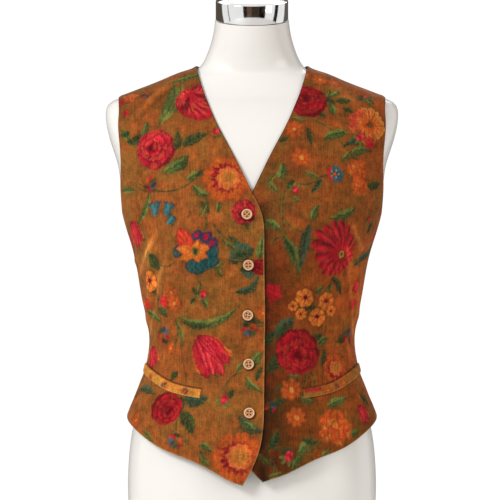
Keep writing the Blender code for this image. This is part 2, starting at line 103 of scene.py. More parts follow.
Ease = namedtuple("Ease", "height front side back")
EASE = [Ease(*row) for row in [
    (90, 12, 10, 8), (190, 9, 9.5, 8), (235, 7.5, 7, 6.5), (290, 7, 5.8, 6), (343, 7, 5.2, 6),
    (380, 3, 4.5, 4), (412, 1.2, 4.0, 2.5), (460, 1.4, 3.0, 1.4), (500, 1.4, 1.8, 1.2),
    (550, 1.2, 1.2, 1.3), (600, 1.4, 1.2, 2.0), (632, 2.6, 1.3, 3.0), (645, 2.8, 2.4, 4.0),
    (660, 2.8, 2.4, 4.0),
]]

Edge = namedtuple("Edge", "out height")
FRONT_EDGE = [Edge(*row) for row in [
    (12.5, 98.5), (8.0, 103.0), (3.0, 114.0), (-4.5, 131), (-11.2, 152), (-15.8, 211), (-17.0, 343),
    (-16.4, 422), (-13.9, 453), (-7.0, 471), (0.8, 487), (26.7, 540), (45.5, 575.5), (57.4, 603),
    (66.7, 628),
]]
HEM = [Edge(*row) for row in [
    (12.5, 98.5), (19, 100.5), (48.8, 115.5), (81.8, 132.0), (118, 146.5), (150, 168.5),
]]
LEFT_TIP_RISE = 5.0
LEFT_TIP_OUT = 2.0

# Button places as they show from the front, from the top
BUTTON_PLACES = [Edge(*row) for row in [
    (6.9, 455.4), (5.0, 390.4), (5.5, 324.1), (4.4, 258.5), (3.6, 193.9),
]]

Turn = namedtuple("Turn", "turn height")
SIDE_TURN = 93.0
HEM_SIDE_HEIGHT = 190.0
UNDERARM_HEIGHT = 458.0
NECK_POINT = Turn(90, 649.5)
SHOULDER_TIP = Turn(90, 611)
FRONT_ARMHOLE = [Turn(*row) for row in [
    (88, 459.5), (82, 466), (77.5, 481), (73, 507), (64.5, 543), (60.5, 578), (61, 596.5), (70, 606.5),
]]
BACK_ARMHOLE = [Turn(*row) for row in [
    (98, 459.5), (106, 466), (115, 481), (122, 507), (126, 543), (127, 578), (122, 596.5), (110, 606.5),
]]
BACK_NECK = [Turn(180, 636), Turn(150, 640), Turn(122, 647), Turn(105, 649.5)]
BACK_HEM = [Turn(180, 178), Turn(150, 180), Turn(120, 185.5)]
WELT = [Turn(*row) for row in [
    (26, 217.5), (35, 221), (43, 225.5), (52, 233), (61, 240.5), (72, 247.5), (84, 252.5),
]]

# Folds by their turn round the body: the solids' own first, then the finer ones
Fold = namedtuple("Fold", "turn height end_turn end_height rise half_width")
RIGHT_FOLDS = [Fold(*row) for row in [
    (52, 432, 72, 300, 2.6, 9), (34, 420, 38, 300, -1.4, 10), (60, 214, 52, 180, 1.8, 9),
    (57, 400, 70, 318, 0.9, 3.2), (44, 395, 53, 322, 0.7, 4.0), (82, 420, 86, 330, 1.0, 5.0),
    (78, 330, 84, 285, -0.9, 4.5), (64, 300, 74, 268, 0.9, 4.0), (86, 240, 80, 204, 1.0, 5.0),
    (38, 196, 33, 150, 0.9, 6.0), (22, 330, 24, 250, 0.6, 7.0), (70, 206, 63, 176, -0.8, 4.0),
]]
LEFT_FOLDS = [Fold(*row) for row in [
    (55, 440, 66, 310, 2.4, 9), (36, 410, 40, 310, -1.3, 10), (74, 226, 66, 196, 2.0, 9),
    (48, 206, 46, 170, 1.4, 9), (58, 412, 65, 322, 1.0, 3.0), (68, 400, 76, 300, 0.8, 3.6),
    (62, 300, 68, 262, 1.0, 3.4), (80, 330, 84, 276, -1.0, 4.5), (84, 238, 76, 192, 1.2, 3.6),
    (64, 224, 58, 182, 0.9, 4.0), (28, 190, 26, 140, 0.8, 7.0), (24, 350, 26, 262, 0.6, 7.0),
]]
# The painted highlights along fold crests: their width, their wider haze, and where they run as seen from the
# front, out and up
CREST_HIGHLIGHT_WIDTH = 2.3
CREST_HIGHLIGHT_HAZE = 5.5
RIGHT_CREST_HIGHLIGHTS = [[Edge(*place) for place in line] for line in [
    [(117.7, 388), (121.6, 376), (124.9, 354), (129.2, 327), (133.0, 300)],
    [(129.8, 420), (136.3, 408), (143.0, 396), (147.0, 380)],
]]
LEFT_CREST_HIGHLIGHTS = [[Edge(*place) for place in line] for line in [
    [(125.4, 412), (127.6, 393), (128.2, 371), (130.4, 347), (132.5, 314), (133.7, 300)],
    [(134.0, 440), (138.6, 424), (146.0, 410)],
]]
BACK_FOLDS = [Fold(*row) for row in [
    (128, 400, 136, 290, 2.0, 10), (158, 420, 154, 280, 1.6, 11), (140, 240, 148, 190, 1.5, 10),
    (112, 390, 118, 300, 0.9, 5.0), (134, 380, 141, 306, 0.8, 4.0), (170, 350, 166, 262, 0.7, 5.0),
    (106, 262, 112, 204, 1.0, 5.0), (124, 228, 130, 192, 0.9, 4.5), (160, 232, 164, 192, 0.8, 5.0),
    (118, 560, 148, 528, 0.7, 6.0), (122, 520, 150, 500, 0.6, 6.0),
]]

# Creases by where they show from the front, for both shoulders and the pull of the buttons
Crease = namedtuple("Crease", "out height end_out end_height rise half_width")
RIGHT_CREASES = [Crease(*row) for row in [
    (84, 641, 154, 583, 2.2, 3.8), (94, 630, 158, 570, -1.2, 3.6), (78, 628, 128, 566, 1.0, 4.5),
    (120, 438, 136, 386, 1.7, 3.8), (117, 392, 132, 299, 2.2, 2.6), (108, 388, 123, 310, -1.5, 4.2),
    (142, 410, 150, 366, 1.1, 2.6), (116, 384, 109, 320, 1.1, 3.6), (104, 560, 158, 540, 0.7, 6.0),
    (12, 462, 62, 446, 0.7, 4.5), (8, 394, 52, 404, 0.5, 5.0), (6, 262, 46, 254, 0.6, 4.5),
]]
LEFT_CREASES = [Crease(*row) for row in [
    (74, 636, 128, 606, 0.9, 4.5), (124, 412, 132, 298, 2.1, 2.6), (115, 404, 123, 300, -1.4, 4.0),
    (92, 622, 160, 584, 1.1, 4.5), (110, 570, 162, 552, 0.6, 6.0), (26, 452, 72, 436, 0.7, 5.0),
    (30, 262, 76, 252, 0.7, 5.0), (60, 500, 92, 462, 0.5, 6.0),
]]

# Dart seams by where they show from the front, and the back's by turn
RIGHT_DART = [Edge(94, 345), Edge(95, 284), Edge(90, 258), Edge(86.5, 234)]
LEFT_DART = [Edge(105, 372), Edge(97.5, 304), Edge(94.5, 260), Edge(93.5, 233)]
BACK_DART = [Turn(*row) for row in [
    (150, 400), (149, 330), (147, 285), (147, 240), (149, 205),
]]
DART_DEPTH = 0.7
DART_REACH = 1.7
BACK_DART_REACH = 2.3

# The grids of the solids, and how many times finer these are
FRONT_COLUMNS = 18
FRONT_ROWS = 31
FRONT_UNDERARM_ROW = 17
BACK_COLUMNS = 14
BACK_NECK_COLUMN = 6
BACK_ROWS = 29
BACK_UNDERARM_ROW = 14
SMOOTHING_ROUNDS = 30
FRONT_FINENESS = 12
BACK_FINENESS = 9
LINING_STEP = 3
WELT_COLUMNS = 132
WELT_ROWS = 15
EDGE_ROLL = 0.55
EDGE_REACH = 1.3
WELT_ROLL = 0.9
WELT_REACH = 2.0
HOLD_ROUNDS = 3
LEAST_STAND = 0.5
LAP_START = -52.0
LAP_RUN = 34.0
LAP_TOP = 492.0
LAP_FADE = 55.0
CREASE_BOW = 3.0
RAY_START = 40.0

# The print's and the sewing's own places on the fronts, and those of the painted light and shade
FAR = 99.0
NECK_FOOT = 480.0
LAP_EDGE = 14.0
BUTTONHOLE_HALF = 8.6
BUTTON_SHADOW_SHIFT = np.array([1.2, 0, -1.2])
LEFT_SIDE_SHIFT = Turn(2, 9)
SIDES = ((-1, "right"), (1, "left"))


def spline(knots: Sequence[float], values: Array, places: Array) -> Array:
    """Read a natural cubic spline.

    Args:
        knots: Where the values are given.
        values: One row for each knot.
        places: Where the curve is read.

    Returns:
        One row for each place.
    """
    knots = np.asarray(knots, float)
    values = np.asarray(values, float)
    places = np.asarray(places, float)
    count = len(knots)
    step = np.diff(knots)
    slope = np.diff(values, axis=0) / step[:, None]
    system = np.eye(count)
    target = np.zeros_like(values)
    for i in range(1, count - 1):
        system[i, i - 1 : i + 2] = step[i - 1], 2 * (step[i - 1] + step[i]), step[i]
        target[i] = 6 * (slope[i] - slope[i - 1])
    bend = np.linalg.solve(system, target)
    i = np.clip(np.searchsorted(knots, places) - 1, 0, count - 2)
    width = step[i][:, None]
    before = (places - knots[i])[:, None]
    after = width - before
    cubic = (bend[i] * after**3 + bend[i + 1] * before**3) / (6 * width)
    start = (values[i] / width - bend[i] * width / 6) * after
    end = (values[i + 1] / width - bend[i + 1] * width / 6) * before
    return cubic + start + end


def lengths_along(points: Array) -> Array:
    """Measure the distance along a line of points, zero at its start."""
    return np.concatenate([[0.0], np.cumsum(np.linalg.norm(np.diff(points, axis=0), axis=1))])


def smooth_step(value: Array) -> Array:
    """Rise smoothly from zero at 0 to one at 1."""
    value = np.clip(value, 0, 1)
    return value * value * (3 - 2 * value)


def sampled_form() -> Array:
    """Sample the form's sections finely, by a spline along its outline.

    Returns:
        Rows of the same columns as the sections, by height.
    """
    rows = np.array(FORM, float)
    run = lengths_along(rows[:, :2])
    fine = spline(run, rows, np.linspace(0, run[-1], SECTION_SAMPLES))
    return fine[np.argsort(fine[:, 0])]


PROFILE = sampled_form()


def section_at(heights: Array) -> list[Array]:
    """Read half width, side line, front depth, back depth and squareness at these heights."""
    return [np.interp(heights, PROFILE[:, 0], PROFILE[:, i]) for i in range(1, PROFILE.shape[1])]


def bust_rise(out: Array, height: Array) -> Array:
    """Tell how far the bust lifts the form's front at this distance from the middle.

    Args:
        out: Distance from the middle of the front.
        height: The height.

    Returns:
        Millimetres forward.
    """
    out = np.abs(out)
    drop = height - BUST_HEIGHT
    reach = np.where(drop < 0, BUST_BELOW, BUST_ABOVE)
    upright = np.exp(-((drop / reach) ** 2))
    inward = BUST_MIDDLE + (1 - BUST_MIDDLE) * smooth_step(out / BUST_OUT)
    outside = 1 - smooth_step((out - BUST_OUT) / BUST_ROUND)
    return BUST_RISE * upright * inward * outside


def reach_of(points: Array) -> tuple[Array, Array, Array]:
    """Give each point's place across and along its own section, one at the form's surface.

    Args:
        points: Places, one a row.

    Returns:
        The shares across and along, and each section's squareness.
    """
    half, side_y, front, back, square = section_at(points[:, 2])
    forward = points[:, 1] < side_y
    depth = np.where(forward, front + bust_rise(points[:, 0], points[:, 2]), back)
    return points[:, 0] / half, (points[:, 1] - side_y) / depth, square


def level(points: Array) -> Array:
    """Give zero on the form's surface and more outside it."""
    across, along, square = reach_of(points)
    return (np.abs(across) ** square + np.abs(along) ** square) ** (1 / square) - 1


def slope_at(points: Array) -> Array:
    """Give the gradient of the level.

    Args:
        points: Places, one a row.

    Returns:
        A gradient for each point.
    """
    probe = 0.25
    slope = np.empty_like(points)
    for axis in range(3):
        shift = np.zeros(3)
        shift[axis] = probe
        slope[:, axis] = (level(points + shift) - level(points - shift)) / (2 * probe)
    return slope


def settle(points: Array, rounds: int = 8) -> Array:
    """Move points onto the form's surface.

    Args:
        points: Places, one a row.
        rounds: How many steps are taken.

    Returns:
        The moved points.
    """
    points = np.array(points, float)
    for _ in range(rounds):
        slope = slope_at(points)
        points -= slope * (level(points) / (slope**2).sum(axis=1))[:, None]
    return points


def outward(points: Array) -> Array:
    """Give the unit normals of the form at its surface points."""
    slope = slope_at(points)
    return slope / np.linalg.norm(slope, axis=1)[:, None]


def turn_of(points: Array) -> Array:
    """Give the degrees round the body from the middle of the front, on either side."""
    across, along, _ = reach_of(points)
    return np.degrees(np.arctan2(np.abs(across), -along))


def on_form(turns: Array, heights: Array, side: Union[int, Array]) -> Array:
    """Find surface points at these turns and heights, side being -1 for the wearer's right.

    Args:
        turns: Degrees round the body from the middle of the front.
        heights: Their heights.
        side: -1 for the wearer's right, 1 for the left.

    Returns:
        The surface points.
    """
    angle = np.radians(turns)
    heights = np.asarray(heights, float)
    half, side_y, front, back, square = section_at(heights)
    across = np.abs(np.sin(angle))
    along = np.abs(np.cos(angle))
    scale = (across**square + along**square) ** (-1 / square)
    x = half * across * scale
    for_front = np.cos(angle) > 0
    depth = np.where(for_front, -(front + bust_rise(x, heights)), back)
    return np.column_stack([side * x, side_y + depth * along * scale, heights])


def ease_at(points: Array) -> Array:
    """Give the stand-off of the cloth, blended round the body.

    Args:
        points: Places, one a row.

    Returns:
        Millimetres off the form.
    """
    rows = np.array(EASE, float)
    front, side, back = spline(rows[:, 0], rows[:, 1:], points[:, 2]).T
    turn = np.radians(turn_of(points))
    ends = np.where(turn < math.pi / 2, front, back)
    return side + (ends - side) * np.cos(turn) ** 2


def between_ends(along: Array, past: float, reach: float) -> Array:
    """Give one between a line's ends, at 0 and 1, and fade to zero so far past each over a reach."""
    return smooth_step((along + past) / reach) * smooth_step((1 + past - along) / reach)


def fold_rise(points: Array, folds: Iterable[Fold]) -> Array:
    """Give the height of the soft folds, each round across its line and fading at its ends.

    Args:
        points: Places, one a row.
        folds: The folds to add up.

    Returns:
        Millimetres out.
    """
    turn = turn_of(points)
    half_width, _, front, _, _ = section_at(points[:, 2])
    girth = np.radians(turn) * (half_width + front) / 2
    rise = np.zeros(len(points))
    for fold in folds:
        along = (points[:, 2] - fold.height) / (fold.end_height - fold.height)
        middle = fold.turn + (fold.end_turn - fold.turn) * along
        away = girth - np.radians(middle) * (half_width + front) / 2
        rise += fold.rise * between_ends(along, 0.25, 0.5) * np.exp(-((away / fold.half_width) ** 2))
    return rise


def crease_rise(points: Array, creases: Iterable[Crease]) -> Array:
    """Give the height of creases placed by how they show from the front.

    Args:
        points: Places, one a row.
        creases: The creases to add up.

    Returns:
        Millimetres out.
    """
    seen = np.column_stack([np.abs(points[:, 0]), points[:, 2]])
    rise = np.zeros(len(points))
    for crease in creases:
        start = np.array([crease.out, crease.height])
        way = np.array([crease.end_out, crease.end_height]) - start
        along = (seen - start) @ way / (way @ way)
        bow = CREASE_BOW * np.sin(np.pi * np.clip(along, 0, 1))
        away = (seen - start) @ np.array([-way[1], way[0]]) / np.linalg.norm(way) - bow
        rise += crease.rise * between_ends(along, 0.1, 0.45) * np.exp(-((away / crease.half_width) ** 2))
    return rise


def lap_rise(points: Array) -> Array:
    """Tell how far the upper front is lifted where it lies on the other.

    Args:
        points: Places, one a row.

    Returns:
        Millimetres out.
    """
    across = smooth_step((points[:, 0] - LAP_START) / LAP_RUN)
    below_neck = 1 - smooth_step((points[:, 2] - LAP_TOP) / LAP_FADE)
    return (CLOTH + LAP_GAP) * across * below_neck


def seen_from_front(edges: Iterable[Edge], side: int) -> Array:
    """Find surface points whose cloth shows at these places from the front.

    Args:
        edges: The places, out from the middle and up.
        side: -1 for the wearer's right, 1 for the left.

    Returns:
        The points on the form.
    """
    wanted = np.array([[side * edge.out, edge.height] for edge in edges], float)
    aim = wanted.copy()
    for _ in range(6):
        half, side_y, front, _, square = section_at(aim[:, 1])
        across = np.clip(np.abs(aim[:, 0]) / half, 0, 0.999)
        along = (1 - across**square) ** (1 / square)
        depth = (front + bust_rise(aim[:, 0], aim[:, 1])) * along
        points = np.column_stack([aim[:, 0], side_y - depth, aim[:, 1]])
        shown = points + outward(points) * (ease_at(points) + CLOTH)[:, None]
        aim += wanted - shown[:, [0, 2]]
    return points


def round_the_side(turns: Sequence[Turn], side: int) -> Array:
    """Find the surface points of a list of Turn rows."""
    return on_form([row.turn for row in turns], [row.height for row in turns], side)


def evenly(points: Array, count: int) -> Array:
    """Cut a line of points into equal lengths.

    Args:
        points: Places, one a row.
        count: How many points to give.

    Returns:
        Points at equal lengths along it.
    """
    run = lengths_along(points)
    even = np.linspace(0, run[-1], count)
    return np.column_stack([np.interp(even, run, points[:, axis]) for axis in range(3)])


def curve(points: Array, count: int) -> Array:
    """Space points evenly along a smooth curve through the given ones, on the form.

    Args:
        points: Places, one a row.
        count: How many points to give.

    Returns:
        Points at equal lengths along the curve.
    """
    run = lengths_along(points)
    fine = settle(spline(run, points, np.linspace(0, run[-1], CURVE_SAMPLES)))
    return evenly(fine, count)


def joined(first: Array, second: Array) -> Array:
    """Make one curve of two that share a point."""
    return np.concatenate([first, second[1:]])


def side_seam(side: int, count: int, gap: float) -> Array:
    """Draw the side seam from hem to underarm, moved round by half a gap.

    Args:
        side: -1 for the wearer's right, 1 for the left.
        count: How many points to give.
        gap: How far it is moved back.

    Returns:
        The seam's points.
    """
    heights = np.linspace(HEM_SIDE_HEIGHT, UNDERARM_HEIGHT, count)
    points = on_form(np.full(count, SIDE_TURN), heights, side)
    points[:, 1] += gap
    return points


def shifted_turn(row: Turn, gap: float, side: int) -> Array:
    """Find one surface point, moved forward or back by half a gap.

    Args:
        row: The turn and height.
        gap: How far it is moved back.
        side: -1 for the wearer's right, 1 for the left.

    Returns:
        A row of one point.
    """
    point = on_form([row.turn], [row.height], side)
    point[:, 1] += gap
    return point


def shoulder(side: int, gap: float, count: int) -> Array:
    """Draw the shoulder seam, from the neck to the armhole, along the top of the shoulder.

    Args:
        side: -1 for the wearer's right, 1 for the left.
        gap: How far it is moved back.
        count: How many points to give.

    Returns:
        The seam's points.
    """
    heights = np.linspace(NECK_POINT.height, SHOULDER_TIP.height, CURVE_SAMPLES)
    points = on_form(np.full(CURVE_SAMPLES, NECK_POINT.turn), heights, side)
    points[:, 1] += gap
    return evenly(points, count)


def patch(bottom: Array, top: Array, first: Array, last: Array) -> Array:
    """Lay a grid between four edges on the form, indexed by row then column.

    Args:
        bottom: The lower edge.
        top: The upper edge.
        first: The edge where rows start.
        last: The edge where they end.

    Returns:
        The grid's points.
    """
    across = np.linspace(0, 1, len(bottom))[None, :, None]
    run = lengths_along(first)
    up = (run / run[-1])[:, None, None]
    sides = first[:, None] * (1 - across) + last[:, None] * across
    ends = bottom[None] * (1 - up) + top[None] * up
    lower = bottom[0] * (1 - across) + bottom[-1] * across
    upper = top[0] * (1 - across) + top[-1] * across
    grid = sides + ends - lower * (1 - up) - upper * up
    for _ in range(SMOOTHING_ROUNDS):
        inside = (grid[:-2, 1:-1] + grid[2:, 1:-1] + grid[1:-1, :-2] + grid[1:-1, 2:]) / 4
        grid[1:-1, 1:-1] = settle(inside.reshape(-1, 3)).reshape(inside.shape)
    return grid


def front_patch(side: int) -> Array:
    """Lay out the grid of one front panel on the form.

    Args:
        side: -1 for the wearer's right, 1 for the left.

    Returns:
        The grid's points.
    """
    gap = -SEAM_GAP / 2
    edge = list(FRONT_EDGE)
    hem = list(HEM)
    if side > 0:
        for rows in (edge, hem):
            for i in range(2):
                rows[i] = Edge(rows[i].out + LEFT_TIP_OUT, rows[i].height + LEFT_TIP_RISE)
    neck = shifted_turn(NECK_POINT, gap, side)
    first = curve(np.concatenate([seen_from_front(edge, side), neck]), FRONT_ROWS + 1)
    seam = side_seam(side, FRONT_UNDERARM_ROW + 1, gap)
    tip = shifted_turn(SHOULDER_TIP, gap, side)
    hole = np.concatenate([seam[-1:], round_the_side(FRONT_ARMHOLE, side), tip])
    last = joined(seam, curve(hole, FRONT_ROWS - FRONT_UNDERARM_ROW + 1))
    bottom = curve(np.concatenate([seen_from_front(hem, side), seam[:1]]), FRONT_COLUMNS + 1)
    top = shoulder(side, gap, FRONT_COLUMNS + 1)
    return patch(bottom, top, first, last)


def back_patch(side: int) -> Array:
    """Lay out the grid of one half of the back on the form, from its middle seam.

    Args:
        side: -1 for the wearer's right, 1 for the left.

    Returns:
        The grid's points.
    """
    gap = SEAM_GAP / 2
    heights = np.linspace(BACK_HEM[0].height, BACK_NECK[0].height, BACK_ROWS + 1)
    first = on_form(np.full(BACK_ROWS + 1, 180.0), heights, side)
    first[:, 0] = side * gap
    seam = side_seam(side, BACK_UNDERARM_ROW + 1, gap)
    tip = shifted_turn(SHOULDER_TIP, gap, side)
    hole = np.concatenate([seam[-1:], round_the_side(BACK_ARMHOLE, side), tip])
    last = joined(seam, curve(hole, BACK_ROWS - BACK_UNDERARM_ROW + 1))
    hem = np.concatenate([round_the_side(BACK_HEM, side), seam[:1]])
    hem[0] = first[0]
    neck = np.concatenate([round_the_side(BACK_NECK, side), shifted_turn(NECK_POINT, gap, side)])
    neck[0] = first[-1]
    over = shoulder(side, gap, BACK_COLUMNS - BACK_NECK_COLUMN + 1)
    top = joined(curve(neck, BACK_NECK_COLUMN + 1), over)
    return patch(curve(hem, BACK_COLUMNS + 1), top, first, last)


def in_two(line: Array, corner: int, times: int) -> Array:
    """Refine a line of points on each side of a corner, which stays sharp.

    Args:
        line: The points.
        corner: The corner's place in the line.
        times: How many pieces each piece becomes.

    Returns:
        The finer line.
    """
    halves = []
    for part in (line[: corner + 1], line[corner:]):
        places = np.linspace(0, len(part) - 1, (len(part) - 1) * times + 1)
        halves.append(spline(np.arange(len(part)), part, places))
    return joined(*halves)


def refine(grid: Array, times: int, row_corner: int, column_corner: Optional[int]) -> Array:
    """Make a patch finer by splines both ways.

    Args:
        grid: The patch, indexed by row then column.
        times: How many cells each cell becomes along each way.
        row_corner: The row where the last edge has its corner.
        column_corner: The column where the top edge has its corner, if it has one.

    Returns:
        The fine grid, settled on the form.
    """
    rows, columns = grid.shape[:2]
    up = np.linspace(0, rows - 1, (rows - 1) * times + 1)
    tall = spline(np.arange(rows), grid.reshape(rows, -1), up).reshape(len(up), columns, 3)
    tall[:, -1] = in_two(grid[:, -1], row_corner, times)
    across = np.linspace(0, columns - 1, (columns - 1) * times + 1)
    turned = tall.transpose(1, 0, 2).reshape(columns, -1)
    fine = spline(np.arange(columns), turned, across)
    fine = fine.reshape(len(across), len(up), 3).transpose(1, 0, 2).copy()
    if column_corner is not None:
        fine[-1] = in_two(grid[-1], column_corner, times)
    return settle(fine.reshape(-1, 3), HOLD_ROUNDS).reshape(fine.shape)


def distance_to_line(points: Array, line: Array) -> Array:
    """Measure each point's distance from a line of straight pieces.

    Args:
        points: Places, one a row.
        line: The line's points.

    Returns:
        A distance for each point.
    """
    nearest = np.full(len(points), np.inf)
    for start, end in zip(line, line[1:]):
        way = end - start
        along = np.clip((points - start) @ way / (way @ way), 0, 1)
        nearest = np.minimum(nearest, np.linalg.norm(points - start - along[:, None] * way, axis=1))
    return nearest


class Girth:
    """Arc lengths round the form, for a grain that runs with the cloth."""

    def __init__(self) -> None:
        """Measure the form at many heights and turns."""
        self.heights = np.linspace(EASE[0].height, EASE[-1].height, 96)
        self.turns = np.linspace(0, 180, 181)
        rows = []
        for height in self.heights:
            rows.append(lengths_along(on_form(self.turns, np.full(len(self.turns), height), 1)))
        self.table = np.array(rows)

    def at(self, points: Array) -> Array:
        """Read the arc length from the middle of the front to each point.

        Args:
            points: Places, one a row.

        Returns:
            Millimetres round the body.
        """
        row = np.interp(points[:, 2], self.heights, np.arange(len(self.heights)))
        turn = np.interp(turn_of(points), self.turns, np.arange(len(self.turns)))
        low = np.minimum(row.astype(int), len(self.heights) - 2)
        left = np.minimum(turn.astype(int), len(self.turns) - 2)
        up, over = row - low, turn - left
        near = self.table[low, left] * (1 - over) + self.table[low, left + 1] * over
        far = self.table[low + 1, left] * (1 - over) + self.table[low + 1, left + 1] * over
        return near * (1 - up) + far * up


def srgb(red: int, green: int, blue: int) -> Array:
    """Turn a colour of 0 to 255 a channel into linear light."""
    value = np.array([red, green, blue]) / 255
    return np.where(value <= 0.04045, value / 12.92, ((value + 0.055) / 1.055) ** 2.4)


class Ink:
    """The print's colours, and the colours of painted light and shade."""

    GROUND = srgb(149, 81, 32)
    WELT = srgb(206, 126, 50)
    LINING = srgb(34, 27, 31)
    BACK = srgb(40, 32, 37)
    # Painted shade along edges and in slits, a painted highlight along edges, the seams' own dark, a painted
    # highlight on fold crests and a painted shadow under the buttons
    SHADE_LINE = srgb(62, 36, 20)
    EDGE_HIGHLIGHT = srgb(204, 158, 98)
    SEAM = srgb(84, 48, 20)
    CREST_HIGHLIGHT = srgb(220, 156, 96)
    BUTTON_SHADOW = srgb(18, 9, 5)
    CRIMSON = srgb(168, 10, 36)
    WINE = srgb(80, 6, 20)
    RED = srgb(194, 20, 38)
    PINK = srgb(220, 62, 64)
    ORANGE = srgb(204, 92, 28)
    RUST = srgb(180, 62, 22)
    YELLOW = srgb(212, 146, 60)
    TEAL = srgb(30, 94, 102)
    BLUE = srgb(24, 50, 74)
    PLUM = srgb(74, 34, 70)
    GREEN = srgb(36, 74, 34)
    DARK_GREEN = srgb(14, 42, 26)
    OLIVE = srgb(96, 92, 36)
    PALE_GREEN = srgb(106, 124, 58)
    BROWN = srgb(84, 44, 16)


def mix(first: Array, second: Array, share: Union[float, Array]) -> Array:
    """Blend two colours, or rows of them, by a share or one for each row.

    Args:
        first: The colour at share 0.
        second: The colour at share 1.
        share: The share.

    Returns:
        The blend.
    """
    share = np.asarray(share, float)
    if share.ndim == 1:
        share = share[:, None]
    return first + (second - first) * share


def inside(distance: Array, soft: float = 1.2) -> Array:
    """Turn a distance inside an edge into a strength, with a soft edge as wide as the nap."""
    return np.clip(0.5 + distance / soft, 0, 1)


def hump(value: Array, middle: float, width: float) -> Array:
    """Rise round a middle value and fall away on both sides."""
    return np.exp(-(((value - middle) / width) ** 2))


class Cloud:
    """A smooth random field on a lattice, from about -1 to 1."""

    CELLS = 64

    def __init__(self, size: float, seed: int) -> None:
        """Fill the lattice, whose cells are this many millimetres wide."""
        self.size = size
        self.values = np.random.default_rng(seed).uniform(-1, 1, (self.CELLS,) * 3)

    def at(self, points: Array) -> Array:
        """Read the field at some points.

        Args:
            points: Places, one a row.

        Returns:
            A value for each point.
        """
        place = points / self.size
        low = np.floor(place).astype(int)
        share = smooth_step(place - low)
        total = np.zeros(len(points))
        for corner in range(8):
            step = np.array([corner & 1, corner >> 1 & 1, corner >> 2])
            weight = np.where(step, share, 1 - share).prod(axis=1)
            x, y, z = ((low + step) % self.CELLS).T
            total += self.values[x, y, z] * weight
        return total


def oval(a: Array, b: Array, x: float, y: float, long: float, short: float, lean: float) -> Array:
    """Give the distance inside an oval, its long way leaning by an angle in degrees.

    Args:
        a: Places to the right.
        b: Places up.
        x: The middle's place to the right.
        y: The middle's place up.
        long: Half its length.
        short: Half its width.
        lean: The angle.

    Returns:
        The distance, less than zero outside.
    """
    cos, sin = math.cos(math.radians(lean)), math.sin(math.radians(lean))
    u, v = (a - x) * cos + (b - y) * sin, (b - y) * cos - (a - x) * sin
    return (1 - np.hypot(u / long, v / short)) * min(long, short)


def petal(a: Array, b: Array, long: float, wide: float, lean: float) -> tuple[Array, Array, Array]:
    """Draw a pointed petal from the middle outward.

    Args:
        a: Places to the right.
        b: Places up.
        long: The petal's length.
        wide: Its greatest width.
        lean: Its way from the middle, in degrees.

    Returns:
        The distance inside it, the share along it and the share across it.
    """
    cos, sin = math.cos(math.radians(lean)), math.sin(math.radians(lean))
    along, across = (a * cos + b * sin) / long, b * cos - a * sin
    half = wide / 2 * np.sin(np.pi * np.clip(along, 0, 1) ** 0.8) ** 0.7
    depth = np.where((along > 0) & (along < 1), half - np.abs(across), -5.0)
    return depth, along, across / (wide / 2)


def tilted(a: Array, b: Array, reach: float, eye: tuple[float, float]) -> tuple[Array, Array]:
    """Give the angle and the share of the way out, from an eye that is off the middle.

    Args:
        a: Places to the right of the middle.
        b: Places above it.
        reach: The flower's radius.
        eye: The eye's place, in shares of the radius.

    Returns:
        The angle, and the share, one at the rim.
    """
    x, y = a - eye[0] * reach, b - eye[1] * reach
    angle, away = np.arctan2(y, x), np.hypot(x, y)
    toward = eye[0] * np.cos(angle) + eye[1] * np.sin(angle)
    rim = reach * (-toward + np.sqrt(toward**2 + 1 - eye[0] ** 2 - eye[1] ** 2))
    return angle, away / rim


def rose(a: Array, b: Array, reach: float, phase: float) -> list[Layer]:
    """Paint a full rose: rounds of cupped petals, dark at the foot and pale at the ruffled rim.

    Args:
        a: Places to the right of the middle.
        b: Places above it.
        reach: The flower's radius.
        phase: A number that varies the drawing.

    Returns:
        Strengths and colours, from the lowest layer up.
    """
    eye = np.array([0.22 * math.cos(phase), 0.26])
    away = np.hypot(a, b) / reach
    scallop = 0.90 + 0.05 * np.abs(np.sin(4.5 * np.arctan2(b, a) + phase))
    layers = [(inside((scallop - away) * reach), mix(Ink.WINE, Ink.CRIMSON, 0.35))]
    rounds = [(8, 0.62, 0.42, 0.55), (7, 0.42, 0.36, 0.8), (5, 0.24, 0.28, 1.0), (3, 0.1, 0.18, 0.7)]
    for count, out, size, light in rounds:
        for i in range(count):
            angle = phase + math.tau * (i * 3 % count + 0.3 * count) / count
            way = np.array([math.cos(angle), math.sin(angle)])
            x, y = (eye * (1 - out) + way * out * (1 + 0.08 * math.sin(5 * i + phase))) * reach
            depth = oval(a, b, x, y, size * reach, size * 0.78 * reach, math.degrees(angle) + 90)
            spin = np.arctan2(b - y, a - x)
            depth = depth + 0.025 * reach * np.sin(9 * spin + i)
            rise = ((a - x) * way[0] + (b - y) * way[1]) / (size * reach)
            streak = 0.5 + 0.5 * np.sin(14 * spin + 3 * i)
            colour = mix(Ink.WINE, Ink.CRIMSON, smooth_step((rise + 0.9) / 1.1))
            colour = mix(colour, Ink.PINK, light * (0.55 + 0.45 * streak) * smooth_step((rise + 0.05) / 0.7))
            colour = mix(colour, Ink.GROUND, 0.7 * (i % 2 == 0) * hump(rise, 0.2, 0.2) * (0.4 + 0.6 * streak))
            colour = mix(colour, Ink.WINE, 0.9 * hump(depth, 0.1, 0.8))
            layers.append((inside(depth) * inside((0.97 - away) * reach), colour))
    return layers


def deep_rose(a: Array, b: Array, reach: float, phase: float) -> list[Layer]:
    """Paint the rose in a deeper red."""
    return [(strength, colour * np.array([0.72, 0.45, 0.5])) for strength, colour in rose(a, b, reach, phase)]


